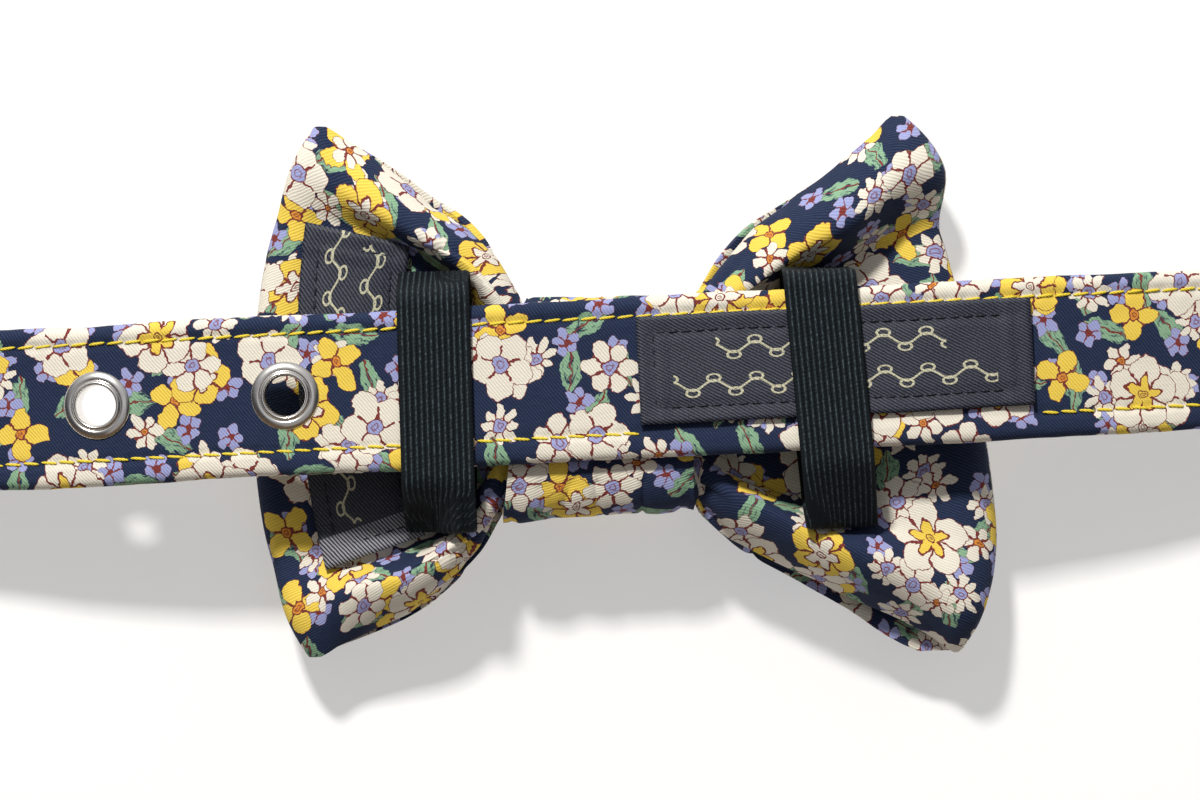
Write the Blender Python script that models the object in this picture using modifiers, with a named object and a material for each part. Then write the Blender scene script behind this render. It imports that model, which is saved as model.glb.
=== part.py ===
"""A pet's bow tie collar, laid open with its bow face down, seen from its inner side.

The strap runs along X over the back of the bow, and two elastic loops hold the bow to it.
The origin is on the surface that it lies on, in the middle of the knot's front face.
Blender 4.5, metres, +Z up.
"""

import math
from collections import namedtuple

import bmesh
import bpy
from mathutils import Matrix, Vector

# Clearance between two pieces that touch
SEAT_GAP = 0.0003

# Strap: a flat sewn band of printed cotton
STRAP_WIDTH = 0.0252
STRAP_THICKNESS = 0.0026
STRAP_EDGE_ROUND = 0.0008
STRAP_RISE = 0.0038
STRAP_FLAT_REACH = 0.050
TIP_REACH = 0.208
TIP_LENGTH = 0.014
TIP_LANDING = 0.201
TIP_NARROWING = 0.58
STATION_STEP = 0.0062

# Eyelets: a row of pressed rings from beside the bow to the tip
EYELET_COUNT = 5
EYELET_START = 0.0494
EYELET_PITCH = 0.030
EYELET_HOLE_RADIUS = 0.0032
EYELET_BARREL_WALL = 0.0004
EYELET_FLANGE_RADIUS = 0.0055
EYELET_DOME = 0.0010
EYELET_SIDES = 20
# An eyelet's section from its barrel out and back in to its hole: shares of the way from
# EYELET_HOLE_RADIUS to EYELET_FLANGE_RADIUS, and of EYELET_DOME
Turn = namedtuple("Turn", "out rise")
EYELET_SECTION = (
    Turn(1.00, 0.00),
    Turn(0.87, 0.50),
    Turn(0.42, 1.00),
    Turn(0.00, 0.45),
)

# Buckle: one plain wire frame with its prong, in the strap's folded end
BUCKLE_REACH = 0.222
BUCKLE_WIRE_RADIUS = 0.0015
BUCKLE_LENGTH = 0.019
BUCKLE_SIDE_ROOM = 0.0012
BUCKLE_CORNER_RADIUS = 0.003
BUCKLE_CORNER_FACES = 3
BUCKLE_LANDING = 0.188
PRONG_RADIUS = 0.0012
PRONG_TIP_RADIUS = 0.0009
PRONG_SIDES = 12
PRONG_COLLAR_RADIUS = 0.0022
PRONG_COLLAR_LENGTH = 0.0044
PRONG_COLLAR_SIDES = 16
PRONG_SLOT_WIDTH = 0.0062
PRONG_SLOT_DEPTH = 0.0075
FOLD_BACK_LENGTH = 0.036
FOLD_BACK_EASE = 0.013

# Knot: a wide band of the same cotton round the bow's middle
KNOT_WIDTH = 0.0314
KNOT_HEIGHT = 0.035
KNOT_DEPTH = 0.023
KNOT_WALL = 0.002
KNOT_CORNER_RADIUS = 0.0065
KNOT_CORNER_FACES = 5
KNOT_TOP_LEFT_DRAW = 0.0042
KNOT_LEFT_DROP = 0.0016

# Bow: one band of cloth whose two loops make the wings, pinched in the knot
BOW_CLOTH = 0.0016
BOW_HALF_HEIGHT = 0.0425
BOW_TURN = math.radians(-2.2)
WING_RISE = 0.0025
ACROSS_FACES = 26
WING_ALONGS = (0.0, 0.05, 0.12, 0.21, 0.32, 0.45, 0.59, 0.73, 0.87, 1.0)
FOLD_ANGLES = (45.0, 0.0, -45.0)

# A row for each station along a wing's edge, from the knot to the corner:
# the top and bottom edges' heights as shares of BOW_HALF_HEIGHT
Edge = namedtuple("Edge", "along top bottom")
LEFT_EDGES = (
    Edge(0.10, 0.57, 0.56),
    Edge(0.25, 0.69, 0.69),
    Edge(0.45, 0.78, 0.81),
    Edge(0.70, 0.89, 0.91),
    Edge(1.00, 1.00, 1.00),
)
RIGHT_EDGES = (
    Edge(0.10, 0.55, 0.52),
    Edge(0.25, 0.66, 0.62),
    Edge(0.45, 0.74, 0.75),
    Edge(0.70, 0.84, 0.90),
    Edge(1.00, 1.01, 1.02),
)

# A row for each station along a wing: how its two layers are folded across their height.
# Heights above the floor are shares of KNOT_DEPTH. A crest's place, and the width of the
# slope up to it from the valley, are shares of the way from the wing's middle line to its edge.
Fold = namedtuple(
    "Fold",
    "along valley crest crest_place foot back_edge front_valley front_crest front_edge",
)
LEFT_FOLDS = (
    Fold(0.00, 0.55, 0.78, 0.70, 0.66, 0.62, 0.33, 0.18, 0.44),
    Fold(0.10, 0.50, 0.82, 0.74, 0.54, 0.61, 0.30, 0.12, 0.42),
    Fold(0.25, 0.49, 0.83, 0.77, 0.42, 0.59, 0.26, 0.09, 0.38),
    Fold(0.45, 0.53, 0.77, 0.80, 0.36, 0.57, 0.22, 0.09, 0.34),
    Fold(0.70, 0.56, 0.68, 0.83, 0.34, 0.54, 0.20, 0.11, 0.34),
    Fold(1.00, 0.50, 0.54, 0.85, 0.34, 0.47, 0.24, 0.22, 0.35),
)
RIGHT_FOLDS = (
    Fold(0.00, 0.55, 0.78, 0.70, 0.66, 0.62, 0.33, 0.18, 0.44),
    Fold(0.10, 0.50, 0.82, 0.74, 0.54, 0.61, 0.30, 0.12, 0.42),
    Fold(0.25, 0.50, 0.84, 0.77, 0.42, 0.59, 0.26, 0.09, 0.38),
    Fold(0.45, 0.59, 0.81, 0.80, 0.36, 0.57, 0.22, 0.09, 0.34),
    Fold(0.70, 0.71, 0.77, 0.83, 0.34, 0.55, 0.20, 0.11, 0.34),
    Fold(1.00, 0.66, 0.66, 0.85, 0.34, 0.49, 0.24, 0.22, 0.35),
)
FRONT_CREST_PLACE = 0.50
SEAT_SEARCH_ROUNDS = 40

# How far each wing's end reaches from the knot's middle at its top and bottom corners,
# and how far its belly stands out past the straight line between them
LEFT_TOP_REACH = 0.0434
LEFT_BOTTOM_REACH = 0.0453
LEFT_BELLY = 0.0080
RIGHT_TOP_REACH = 0.0484
RIGHT_BOTTOM_REACH = 0.0574
RIGHT_BELLY = 0.0044
Wing = namedtuple("Wing", "side top_reach bottom_reach belly edges folds")
LEFT_WING = Wing(-1, LEFT_TOP_REACH, LEFT_BOTTOM_REACH, LEFT_BELLY, LEFT_EDGES, LEFT_FOLDS)
RIGHT_WING = Wing(1, RIGHT_TOP_REACH, RIGHT_BOTTOM_REACH, RIGHT_BELLY, RIGHT_EDGES, RIGHT_FOLDS)

# Elastic: two loops of flat ribbed elastic, sewn to the wings beside the knot
ELASTIC_WIDTH = 0.0110
ELASTIC_THICKNESS = 0.0011
ELASTIC_SEAT_GAP = 0.0008
ELASTIC_EDGE_ROOM = 0.0024
ELASTIC_TURN = 0.0018
ELASTIC_TURN_FACES = 3
ELASTIC_BACK_FACES = 16
ELASTIC_ROWS = 6
ELASTIC_BOTTOM = -0.0205
LEFT_ELASTIC_MIDDLE = -0.0256
LEFT_ELASTIC_TOP = 0.0216
LEFT_ELASTIC_LEAN = math.radians(1.0)
RIGHT_ELASTIC_MIDDLE = 0.0369
RIGHT_ELASTIC_TOP = 0.0212
RIGHT_ELASTIC_LEAN = math.radians(5.0)
# The left loop runs over the bow's label, and the right one over the strap's
Loop = namedtuple("Loop", "name middle top lean labels_in_face labels_in_back")
LOOPS = (
    Loop("elastic_left", LEFT_ELASTIC_MIDDLE, LEFT_ELASTIC_TOP, LEFT_ELASTIC_LEAN, 0, 1),
    Loop("elastic_right", RIGHT_ELASTIC_MIDDLE, RIGHT_ELASTIC_TOP, RIGHT_ELASTIC_LEAN, 1, 0),
)

# Labels: two woven strips, one on the strap and one down the left wing
LABEL_THICKNESS = 0.0006
LABEL_WIDTH = 0.0172
LABEL_LENGTH = 0.0627
STRAP_LABEL_START = 0.0068
STRAP_LABEL_RISE = 0.0011
BOW_LABEL_GAP = 0.0005
BOW_LABEL_MIDDLE = -0.0394
BOW_LABEL_TOP = 0.0280
BOW_LABEL_BOTTOM = -0.0236
BOW_LABEL_TOP_SLANT = 0.0020
BOW_LABEL_BOTTOM_SLANT = 0.0027
BOW_LABEL_BEND = 0.0027
BOW_LABEL_LEAN = math.radians(3.4)
BOW_LABEL_STEP = 0.0034
BOW_LABEL_COLUMNS = 3

SOFT_EDGE_ANGLE = math.radians(50)

WING_ROOT = KNOT_WIDTH / 2 + BOW_CLOTH / 2 + SEAT_GAP
PINCH_HALF_HEIGHT = KNOT_HEIGHT / 2 - KNOT_WALL - SEAT_GAP - BOW_CLOTH / 2
STRAP_LEVEL = KNOT_DEPTH + SEAT_GAP + STRAP_THICKNESS / 2
BUCKLE_BAR_LEVEL = STRAP_THICKNESS + SEAT_GAP + BUCKLE_WIRE_RADIUS


def ease(share):
    """A share from 0 to 1, with a level start and end."""
    share = min(1.0, max(0.0, share))
    return share * share * (3 - 2 * share)


def mix(low, high, share):
    return low + (high - low) * share


def from_table(rows, along, column):
    """A column of a table at a station, on a smooth curve through its rows."""
    places = [row.along for row in rows]
    values = [getattr(row, column) for row in rows]
    last = len(rows) - 1
    i = 0
    while i < last - 1 and along > places[i + 1]:
        i += 1

    def slope(k):
        if k in (0, last):
            near = 1 if k == 0 else last - 1
            return (values[near] - values[k]) / (places[near] - places[k])
        return (values[k + 1] - values[k - 1]) / (places[k + 1] - places[k - 1])

    span = places[i + 1] - places[i]
    share = (along - places[i]) / span
    rise = ease(share)
    start = share * (1 - share) ** 2 * span * slope(i)
    end = share**2 * (share - 1) * span * slope(i + 1)
    return mix(values[i], values[i + 1], rise) + start + end


def edge_height(wing, along, column):
    """The height of a wing's top or bottom edge from the wing's middle line."""
    pinch = PINCH_HALF_HEIGHT / BOW_HALF_HEIGHT
    rows = (Edge(0.0, pinch, pinch),) + wing.edges
    return BOW_HALF_HEIGHT * from_table(rows, along, column)


def fold_height(wing, along, column):
    return KNOT_DEPTH * from_table(wing.folds, along, column)


def knot_draw(y):
    """How far the knot's left side is drawn in at a height, most at its top."""
    return KNOT_TOP_LEFT_DRAW * (y / KNOT_HEIGHT + 0.5)


def wing_span(wing, across):
    """Where a line of a wing's cloth leaves the knot, and how far it runs to the wing's end."""
    root = WING_ROOT
    if wing.side < 0:
        root -= knot_draw(across * PINCH_HALF_HEIGHT)
    end = mix(wing.bottom_reach, wing.top_reach, (across + 1) / 2) + wing.belly * (1 - across**2)
    return root, end - root


def back_level(wing, along, across):
    """The back layer's height: a valley between two rolls that run from knot to corners."""
    off = abs(across)
    crest_place = from_table(wing.folds, along, "crest_place")
    valley = fold_height(wing, along, "valley")
    crest = fold_height(wing, along, "crest")
    edge = fold_height(wing, along, "back_edge")
    if off < crest_place:
        foot = from_table(wing.folds, along, "foot")
        return mix(valley, crest, ease(1 - (crest_place - off) / foot))
    return mix(crest, edge, ((off - crest_place) / (1 - crest_place)) ** 2)


def front_level(wing, along, across):
    """The front layer's height: two puffs with a shallow valley between them."""
    off = abs(across)
    valley = fold_height(wing, along, "front_valley")
    crest = fold_height(wing, along, "front_crest")
    edge = fold_height(wing, along, "front_edge")
    if off < FRONT_CREST_PLACE:
        return mix(valley, crest, ease(off / FRONT_CREST_PLACE))
    return mix(crest, edge, ease((off - FRONT_CREST_PLACE) / (1 - FRONT_CREST_PLACE)))


def wing_point(wing, along, across, level):
    """A point of a layer's middle surface, from the knot outwards and from -1 to 1 across."""
    rise = WING_RISE * ease(along)
    column = "top" if across > 0 else "bottom"
    root, run = wing_span(wing, across)
    y = rise + across * edge_height(wing, along, column)
    return Vector((wing.side * (root + along * run), y, level(wing, along, across)))


def fold_point(wing, degrees, across):
    """A point of the fold at a wing's end, where the back layer turns into the front one."""
    back = wing_point(wing, 1.0, across, back_level)
    front = wing_point(wing, 1.0, across, front_level)
    radius = (back.z - front.z) / 2
    angle = math.radians(degrees)
    x = back.x + wing.side * radius * math.cos(angle)
    return Vector((x, back.y, front.z + radius * (1 + math.sin(angle))))


def back_height_at(x, y):
    """The back layer's height over a point of the plan, found by stepping to it."""
    wing = LEFT_WING if x < 0 else RIGHT_WING
    along = across = 0.0
    for _ in range(SEAT_SEARCH_ROUNDS):
        root, run = wing_span(wing, across)
        along = min(1.0, max(0.0, (abs(x) - root) / run))
        column = "top" if y > WING_RISE * ease(along) else "bottom"
        across = (y - WING_RISE * ease(along)) / edge_height(wing, along, column)
        across = min(1.0, max(-1.0, across))
    return back_level(wing, along, across)


def seat_on_back(x, y, lift):
    """A point lifted square off the back layer, from over a point of the plan."""
    step = SEAT_GAP
    level = back_height_at(x, y)
    run = (back_height_at(x + step, y) - level) / step
    climb = (back_height_at(x, y + step) - level) / step
    return Vector((x, y, level)) + Vector((-run, -climb, 1)).normalized() * lift


def strap_level_at(x):
    """The strap's middle surface: level over the bow, and eased down to the floor each way."""
    landing = TIP_LANDING if x < 0 else BUCKLE_LANDING
    share = (abs(x) - STRAP_FLAT_REACH) / (landing - STRAP_FLAT_REACH)
    return mix(STRAP_LEVEL, STRAP_THICKNESS / 2, ease(share))


def strap_slope_at(x):
    step = STATION_STEP / 2
    return math.atan2(strap_level_at(x + step) - strap_level_at(x - step), 2 * step)


def collection(name):
    made = bpy.data.collections.new(name)
    bpy.context.scene.collection.children.link(made)
    return made


def material(name, colour, roughness, metallic=0.0):
    made = bpy.data.materials.new(name)
    made.use_nodes = True
    shader = made.node_tree.nodes["Principled BSDF"]
    shader.inputs["Base Color"].default_value = (*colour, 1.0)
    shader.inputs["Roughness"].default_value = roughness
    shader.inputs["Metallic"].default_value = metallic
    return made


def add_object(name, data, group, parent=None, finish=None):
    made = bpy.data.objects.new(name, data)
    group.objects.link(made)
    made.parent = parent
    if finish:
        data.materials.append(finish)
    return made


def frame_empty(name, group, location=(0, 0, 0), rotation=(0, 0, 0)):
    empty = bpy.data.objects.new(name, None)
    empty.location = location
    empty.rotation_euler = rotation
    group.objects.link(empty)
    return empty


def placed_sheet(name, columns, rows, place, ring=False):
    """A sheet of quads whose points are put by place(column, -1 to 1 across)."""
    bm = bmesh.new()
    bmesh.ops.create_grid(bm, x_segments=columns, y_segments=rows, size=1.0)
    for vertex in bm.verts:
        column = round((vertex.co.x + 1) / 2 * columns)
        vertex.co = place(column, round(vertex.co.y * rows) / rows)
    if ring:
        bmesh.ops.remove_doubles(bm, verts=bm.verts, dist=SEAT_GAP / 100)
    bmesh.ops.recalc_face_normals(bm, faces=bm.faces)
    mesh = bpy.data.meshes.new(name)
    bm.to_mesh(mesh)
    bm.free()
    mesh.shade_smooth()
    return mesh


def add_wall(piece, thickness, offset=0.0):
    wall = piece.modifiers.new("wall", "SOLIDIFY")
    wall.thickness = thickness
    wall.offset = offset
    wall.use_even_offset = True


def add_round_edges(piece, width):
    rounding = piece.modifiers.new("round_edges", "BEVEL")
    rounding.width = width
    rounding.segments = 1
    rounding.limit_method = "ANGLE"
    rounding.angle_limit = SOFT_EDGE_ANGLE


def add_cut(piece, cutter):
    cut = piece.modifiers.new(f"cut_{cutter.name}", "BOOLEAN")
    cut.operation = "DIFFERENCE"
    cut.object = cutter
    cutter.hide_render = True
    cutter.display_type = "WIRE"


def steps(start, end, step):
    """Evenly spaced values from start to end, about a step apart."""
    count = max(1, round(abs(end - start) / step))
    return [mix(start, end, i / count) for i in range(count + 1)]


def strap_path():
    """The strap's middle line in X and Z, from the tip, round the buckle's bar and back."""
    turn_radius = BUCKLE_WIRE_RADIUS + SEAT_GAP + STRAP_THICKNESS / 2
    fold_level = STRAP_THICKNESS * 1.5 + SEAT_GAP
    path = [(x, strap_level_at(x)) for x in steps(-TIP_REACH, -STRAP_FLAT_REACH, STATION_STEP)]
    path += [
        (x, strap_level_at(x))
        for x in steps(STRAP_FLAT_REACH, BUCKLE_REACH, STATION_STEP)
    ]
    for degrees in range(-60, 91, 30):
        angle = math.radians(degrees)
        x = BUCKLE_REACH + turn_radius * math.cos(angle)
        path.append((x, BUCKLE_BAR_LEVEL + turn_radius * math.sin(angle)))
    top = BUCKLE_BAR_LEVEL + turn_radius
    for back in steps(0, FOLD_BACK_LENGTH, STATION_STEP / 2)[1:]:
        path.append((BUCKLE_REACH - back, mix(top, fold_level, ease(back / FOLD_BACK_EASE))))
    return path


def strap_half_width(x):
    """Half the strap's width, which narrows to a blunt tip."""
    share = max(0.0, (-x - (TIP_REACH - TIP_LENGTH)) / TIP_LENGTH)
    return STRAP_WIDTH / 2 * (1 - TIP_NARROWING * share**2)


def build_strap(group, cutters, frame, finish):
    path = strap_path()

    def place(column, across):
        x, level = path[column]
        return Vector((x, across * strap_half_width(x), level))

    mesh = placed_sheet("strap", len(path) - 1, 2, place)
    strap = add_object("strap", mesh, group, frame, finish)
    add_wall(strap, STRAP_THICKNESS)
    add_round_edges(strap, STRAP_EDGE_ROUND)
    hole_radius = EYELET_HOLE_RADIUS + EYELET_BARREL_WALL + SEAT_GAP
    for i in range(EYELET_COUNT):
        mesh = bpy.data.meshes.new(f"eyelet_hole_{i + 1}")
        bm = bmesh.new()
        bmesh.ops.create_cone(
            bm, cap_ends=True, segments=EYELET_SIDES, depth=STRAP_THICKNESS * 4,
            radius1=hole_radius, radius2=hole_radius,
        )
        bm.to_mesh(mesh)
        bm.free()
        hole = add_object(mesh.name, mesh, cutters, frame)
        hole.location, hole.rotation_euler = eyelet_seat(i)
        add_cut(strap, hole)
    slot_mesh = bpy.data.meshes.new("prong_slot")
    bm = bmesh.new()
    slot_end = BUCKLE_REACH + 2 * BUCKLE_WIRE_RADIUS + 2 * STRAP_THICKNESS
    slot_start = BUCKLE_REACH - PRONG_SLOT_DEPTH
    size = Vector((slot_end - slot_start, PRONG_SLOT_WIDTH, 10 * STRAP_THICKNESS))
    middle = Vector(((slot_end + slot_start) / 2, 0, BUCKLE_BAR_LEVEL))
    bmesh.ops.create_cube(bm, size=1.0, matrix=Matrix.LocRotScale(middle, None, size))
    bm.to_mesh(slot_mesh)
    bm.free()
    add_cut(strap, add_object("prong_slot", slot_mesh, cutters, frame))


def eyelet_seat(i):
    """An eyelet's location and rotation on the sloping strap."""
    x = -(EYELET_START + i * EYELET_PITCH)
    return (x, 0, strap_level_at(x)), (0, -strap_slope_at(x), 0)


def build_eyelets(group, frame, finish):
    """Each eyelet is a barrel through the strap with a domed flange on both faces."""
    seat = STRAP_THICKNESS / 2 + SEAT_GAP
    half_profile = [(EYELET_HOLE_RADIUS + EYELET_BARREL_WALL, seat)]
    half_profile += [
        (mix(EYELET_HOLE_RADIUS, EYELET_FLANGE_RADIUS, turn.out), seat + EYELET_DOME * turn.rise)
        for turn in EYELET_SECTION
    ]
    outline = half_profile[::-1] + [(r, -z) for r, z in half_profile]
    mesh = bpy.data.meshes.new("eyelet")
    bm = bmesh.new()
    ring = [bm.verts.new((r, 0, z)) for r, z in outline]
    for i, vertex in enumerate(ring):
        bm.edges.new((vertex, ring[(i + 1) % len(ring)]))
    bm.to_mesh(mesh)
    bm.free()
    for i in range(EYELET_COUNT):
        eyelet = add_object(f"eyelet_{i + 1}", mesh, group, frame)
        eyelet.location, eyelet.rotation_euler = eyelet_seat(i)
        spin = eyelet.modifiers.new("spin", "SCREW")
        spin.steps = spin.render_steps = EYELET_SIDES
        spin.merge_threshold = SEAT_GAP / 100
        spin.use_smooth_shade = True
    mesh.materials.append(finish)


def as_mesh_object(curve_object, group):
    """A curve's evaluated tube as a mesh object in the same place, with the curve removed."""
    mesh = bpy.data.meshes.new_from_object(
        curve_object.evaluated_get(bpy.context.evaluated_depsgraph_get())
    )
    bm = bmesh.new()
    bm.from_mesh(mesh)
    bmesh.ops.remove_doubles(bm, verts=bm.verts, dist=SEAT_GAP / 100)
    bm.to_mesh(mesh)
    bm.free()
    made = bpy.data.objects.new(curve_object.name, mesh)
    made.matrix_world = curve_object.matrix_world
    group.objects.link(made)
    bpy.data.objects.remove(curve_object)
    return made


def rounded_rectangle(half_a, half_b, radius, arc_faces):
    """The outline of a rectangle with round corners, centred on the origin."""
    points = []
    for corner, (side_a, side_b) in enumerate(((1, 1), (-1, 1), (-1, -1), (1, -1))):
        for i in range(arc_faces + 1):
            angle = math.radians(90) * (corner + i / arc_faces)
            points.append(
                (
                    side_a * (half_a - radius) + radius * math.cos(angle),
                    side_b * (half_b - radius) + radius * math.sin(angle),
                )
            )
    return points


def build_buckle(group, cutters, frame, finish):
    """The wire frame's near side is the bar in the strap's fold; its far side is on the floor."""
    half_width = STRAP_WIDTH / 2 + BUCKLE_SIDE_ROOM + BUCKLE_WIRE_RADIUS
    outline = rounded_rectangle(
        BUCKLE_LENGTH / 2, half_width, BUCKLE_CORNER_RADIUS, BUCKLE_CORNER_FACES
    )
    curve = bpy.data.curves.new("buckle", "CURVE")
    curve.dimensions = "3D"
    curve.bevel_depth = BUCKLE_WIRE_RADIUS
    curve.bevel_resolution = 2
    spline = curve.splines.new("POLY")
    spline.points.add(len(outline) - 1)
    for point, (x, y) in zip(spline.points, outline):
        point.co = (x + BUCKLE_LENGTH / 2, y, 0, 1)
    spline.use_cyclic_u = True
    wire = add_object("buckle_wire", curve, cutters)
    wire = as_mesh_object(wire, cutters)
    wire.hide_render = True

    tilt = math.asin((BUCKLE_BAR_LEVEL - BUCKLE_WIRE_RADIUS) / BUCKLE_LENGTH)
    mesh = bpy.data.meshes.new("buckle")
    bm = bmesh.new()
    bmesh.ops.create_cone(
        bm, cap_ends=True, segments=PRONG_SIDES, depth=BUCKLE_LENGTH,
        radius1=PRONG_RADIUS, radius2=PRONG_TIP_RADIUS,
        matrix=Matrix.Translation((BUCKLE_LENGTH / 2, 0, 0)) @ Matrix.Rotation(math.pi / 2, 4, "Y"),
    )
    bm.to_mesh(mesh)
    bm.free()
    buckle = add_object("buckle", mesh, group, frame, finish)
    buckle.location = (BUCKLE_REACH, 0, BUCKLE_BAR_LEVEL)
    buckle.rotation_euler = (0, tilt, 0)

    collar_mesh = bpy.data.meshes.new("prong_collar")
    bm = bmesh.new()
    bmesh.ops.create_cone(
        bm, cap_ends=True, segments=PRONG_COLLAR_SIDES, depth=PRONG_COLLAR_LENGTH,
        radius1=PRONG_COLLAR_RADIUS, radius2=PRONG_COLLAR_RADIUS,
        matrix=Matrix.Rotation(math.pi / 2, 4, "X"),
    )
    bm.to_mesh(collar_mesh)
    bm.free()
    collar = add_object("prong_collar", collar_mesh, cutters)
    for joined in (wire, collar):
        joined.parent = buckle
        joined.hide_render = True
        joined.display_type = "WIRE"
        union = buckle.modifiers.new(f"join_{joined.name}", "BOOLEAN")
        union.operation = "UNION"
        union.object = joined


def build_strap_label(group, frame, finish):
    lift = STRAP_THICKNESS / 2 + SEAT_GAP + LABEL_THICKNESS / 2
    stations = steps(STRAP_LABEL_START, STRAP_LABEL_START + LABEL_LENGTH, STATION_STEP)

    def place(column, across):
        x = stations[column]
        return Vector((x, STRAP_LABEL_RISE + across * LABEL_WIDTH / 2, strap_level_at(x) + lift))

    mesh = placed_sheet("strap_label", len(stations) - 1, 2, place)
    add_wall(add_object("strap_label", mesh, group, frame, finish), LABEL_THICKNESS)


def build_knot(group, frame, finish):
    outline = rounded_rectangle(
        KNOT_HEIGHT / 2, KNOT_DEPTH / 2, KNOT_CORNER_RADIUS, KNOT_CORNER_FACES
    )

    def place(column, across):
        y, z = outline[column % len(outline)]
        to_left = (1 - across) / 2
        x = across * KNOT_WIDTH / 2 + to_left * knot_draw(y)
        drop = KNOT_LEFT_DROP * to_left * (0.5 - y / KNOT_HEIGHT)
        return Vector((x, y - drop, z + KNOT_DEPTH / 2))

    mesh = placed_sheet("knot", len(outline), 2, place, ring=True)
    add_wall(add_object("knot", mesh, group, frame, finish), KNOT_WALL, offset=-1.0)


def bow_ring():
    """The bow's cloth as one ring of stations, out along each wing's back and home on its front."""

    def layer(wing, along, level):
        return lambda across: wing_point(wing, along, across, level)

    def fold(wing, degrees):
        return lambda across: fold_point(wing, degrees, across)

    def out_and_home(wing):
        out = [layer(wing, along, back_level) for along in WING_ALONGS]
        turn = [fold(wing, degrees) for degrees in FOLD_ANGLES]
        home = [layer(wing, along, front_level) for along in WING_ALONGS[::-1]]
        return out + turn + home

    return out_and_home(RIGHT_WING) + out_and_home(LEFT_WING)[::-1]


def build_bow(group, frame, finish):
    ring = bow_ring()

    def place(column, across):
        return ring[column % len(ring)](across)

    mesh = placed_sheet("bow", len(ring), ACROSS_FACES, place, ring=True)
    add_wall(add_object("bow", mesh, group, frame, finish), BOW_CLOTH)


def build_bow_label(group, frame, finish):
    """The label follows the left wing's back layer, between the wing's end and the elastic."""
    lift = BOW_CLOTH / 2 + BOW_LABEL_GAP + LABEL_THICKNESS / 2
    rows = round((BOW_LABEL_TOP - BOW_LABEL_BOTTOM) / BOW_LABEL_STEP)

    def place(column, across):
        top = BOW_LABEL_TOP - across * BOW_LABEL_TOP_SLANT
        y = mix(BOW_LABEL_BOTTOM + across * BOW_LABEL_BOTTOM_SLANT, top, column / rows)
        bend = BOW_LABEL_BEND * (y / BOW_LABEL_TOP) ** 2
        x = BOW_LABEL_MIDDLE + bend - y * math.tan(BOW_LABEL_LEAN) + across * LABEL_WIDTH / 2
        return seat_on_back(x, y, lift)

    mesh = placed_sheet("bow_label", rows, BOW_LABEL_COLUMNS, place)
    add_wall(add_object("bow_label", mesh, group, frame, finish), LABEL_THICKNESS)


def strap_middle_at(x):
    """The height of the strap's middle line in the turned bow's frame."""
    return (STRAP_RISE - x * math.sin(BOW_TURN)) / math.cos(BOW_TURN)


def round_turn(before, corner, after):
    """Points of a smooth turn at a corner of an elastic's path."""
    start = corner + (before - corner).normalized() * ELASTIC_TURN
    end = corner + (after - corner).normalized() * ELASTIC_TURN
    shares = [i / ELASTIC_TURN_FACES for i in range(ELASTIC_TURN_FACES + 1)]
    return [start.lerp(corner, share).lerp(corner.lerp(end, share), share) for share in shares]


def elastic_path(loop, across):
    """One edge-parallel line round a loop: over the strap's face and home along the bow's back."""
    label_room = LABEL_THICKNESS + SEAT_GAP
    face_level = STRAP_LEVEL + STRAP_THICKNESS / 2 + SEAT_GAP + ELASTIC_THICKNESS / 2
    face_level += loop.labels_in_face * label_room
    back_lift = BOW_CLOTH / 2 + ELASTIC_SEAT_GAP + ELASTIC_THICKNESS / 2
    back_lift += loop.labels_in_back * label_room
    half_face = STRAP_WIDTH / 2 + ELASTIC_EDGE_ROOM

    def place_at(y):
        return loop.middle + across * ELASTIC_WIDTH / 2 - (y - STRAP_RISE) * math.tan(loop.lean)

    def face_corner(side):
        y = strap_middle_at(place_at(STRAP_RISE)) + side * half_face
        return Vector((place_at(y), y, face_level))

    top, bottom = face_corner(1), face_corner(-1)
    back_step = (loop.top - ELASTIC_BOTTOM) / ELASTIC_BACK_FACES
    back = [
        seat_on_back(place_at(y), y, back_lift)
        for y in steps(ELASTIC_BOTTOM, loop.top, back_step)
    ]
    return (
        round_turn(back[-1], top, bottom)
        + round_turn(top, bottom, back[0])
        + round_turn(bottom, back[0], back[1])
        + back[1:-1]
        + round_turn(back[-2], back[-1], top)
    )


def build_elastics(group, frame, finish):
    for loop in LOOPS:
        lines = [elastic_path(loop, row * 2 / ELASTIC_ROWS - 1) for row in range(ELASTIC_ROWS + 1)]
        length = len(lines[0])

        def place(column, across):
            return lines[round((across + 1) / 2 * ELASTIC_ROWS)][column % length]

        mesh = placed_sheet(loop.name, length, ELASTIC_ROWS, place, ring=True)
        add_wall(add_object(loop.name, mesh, group, frame, finish), ELASTIC_THICKNESS)


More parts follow.
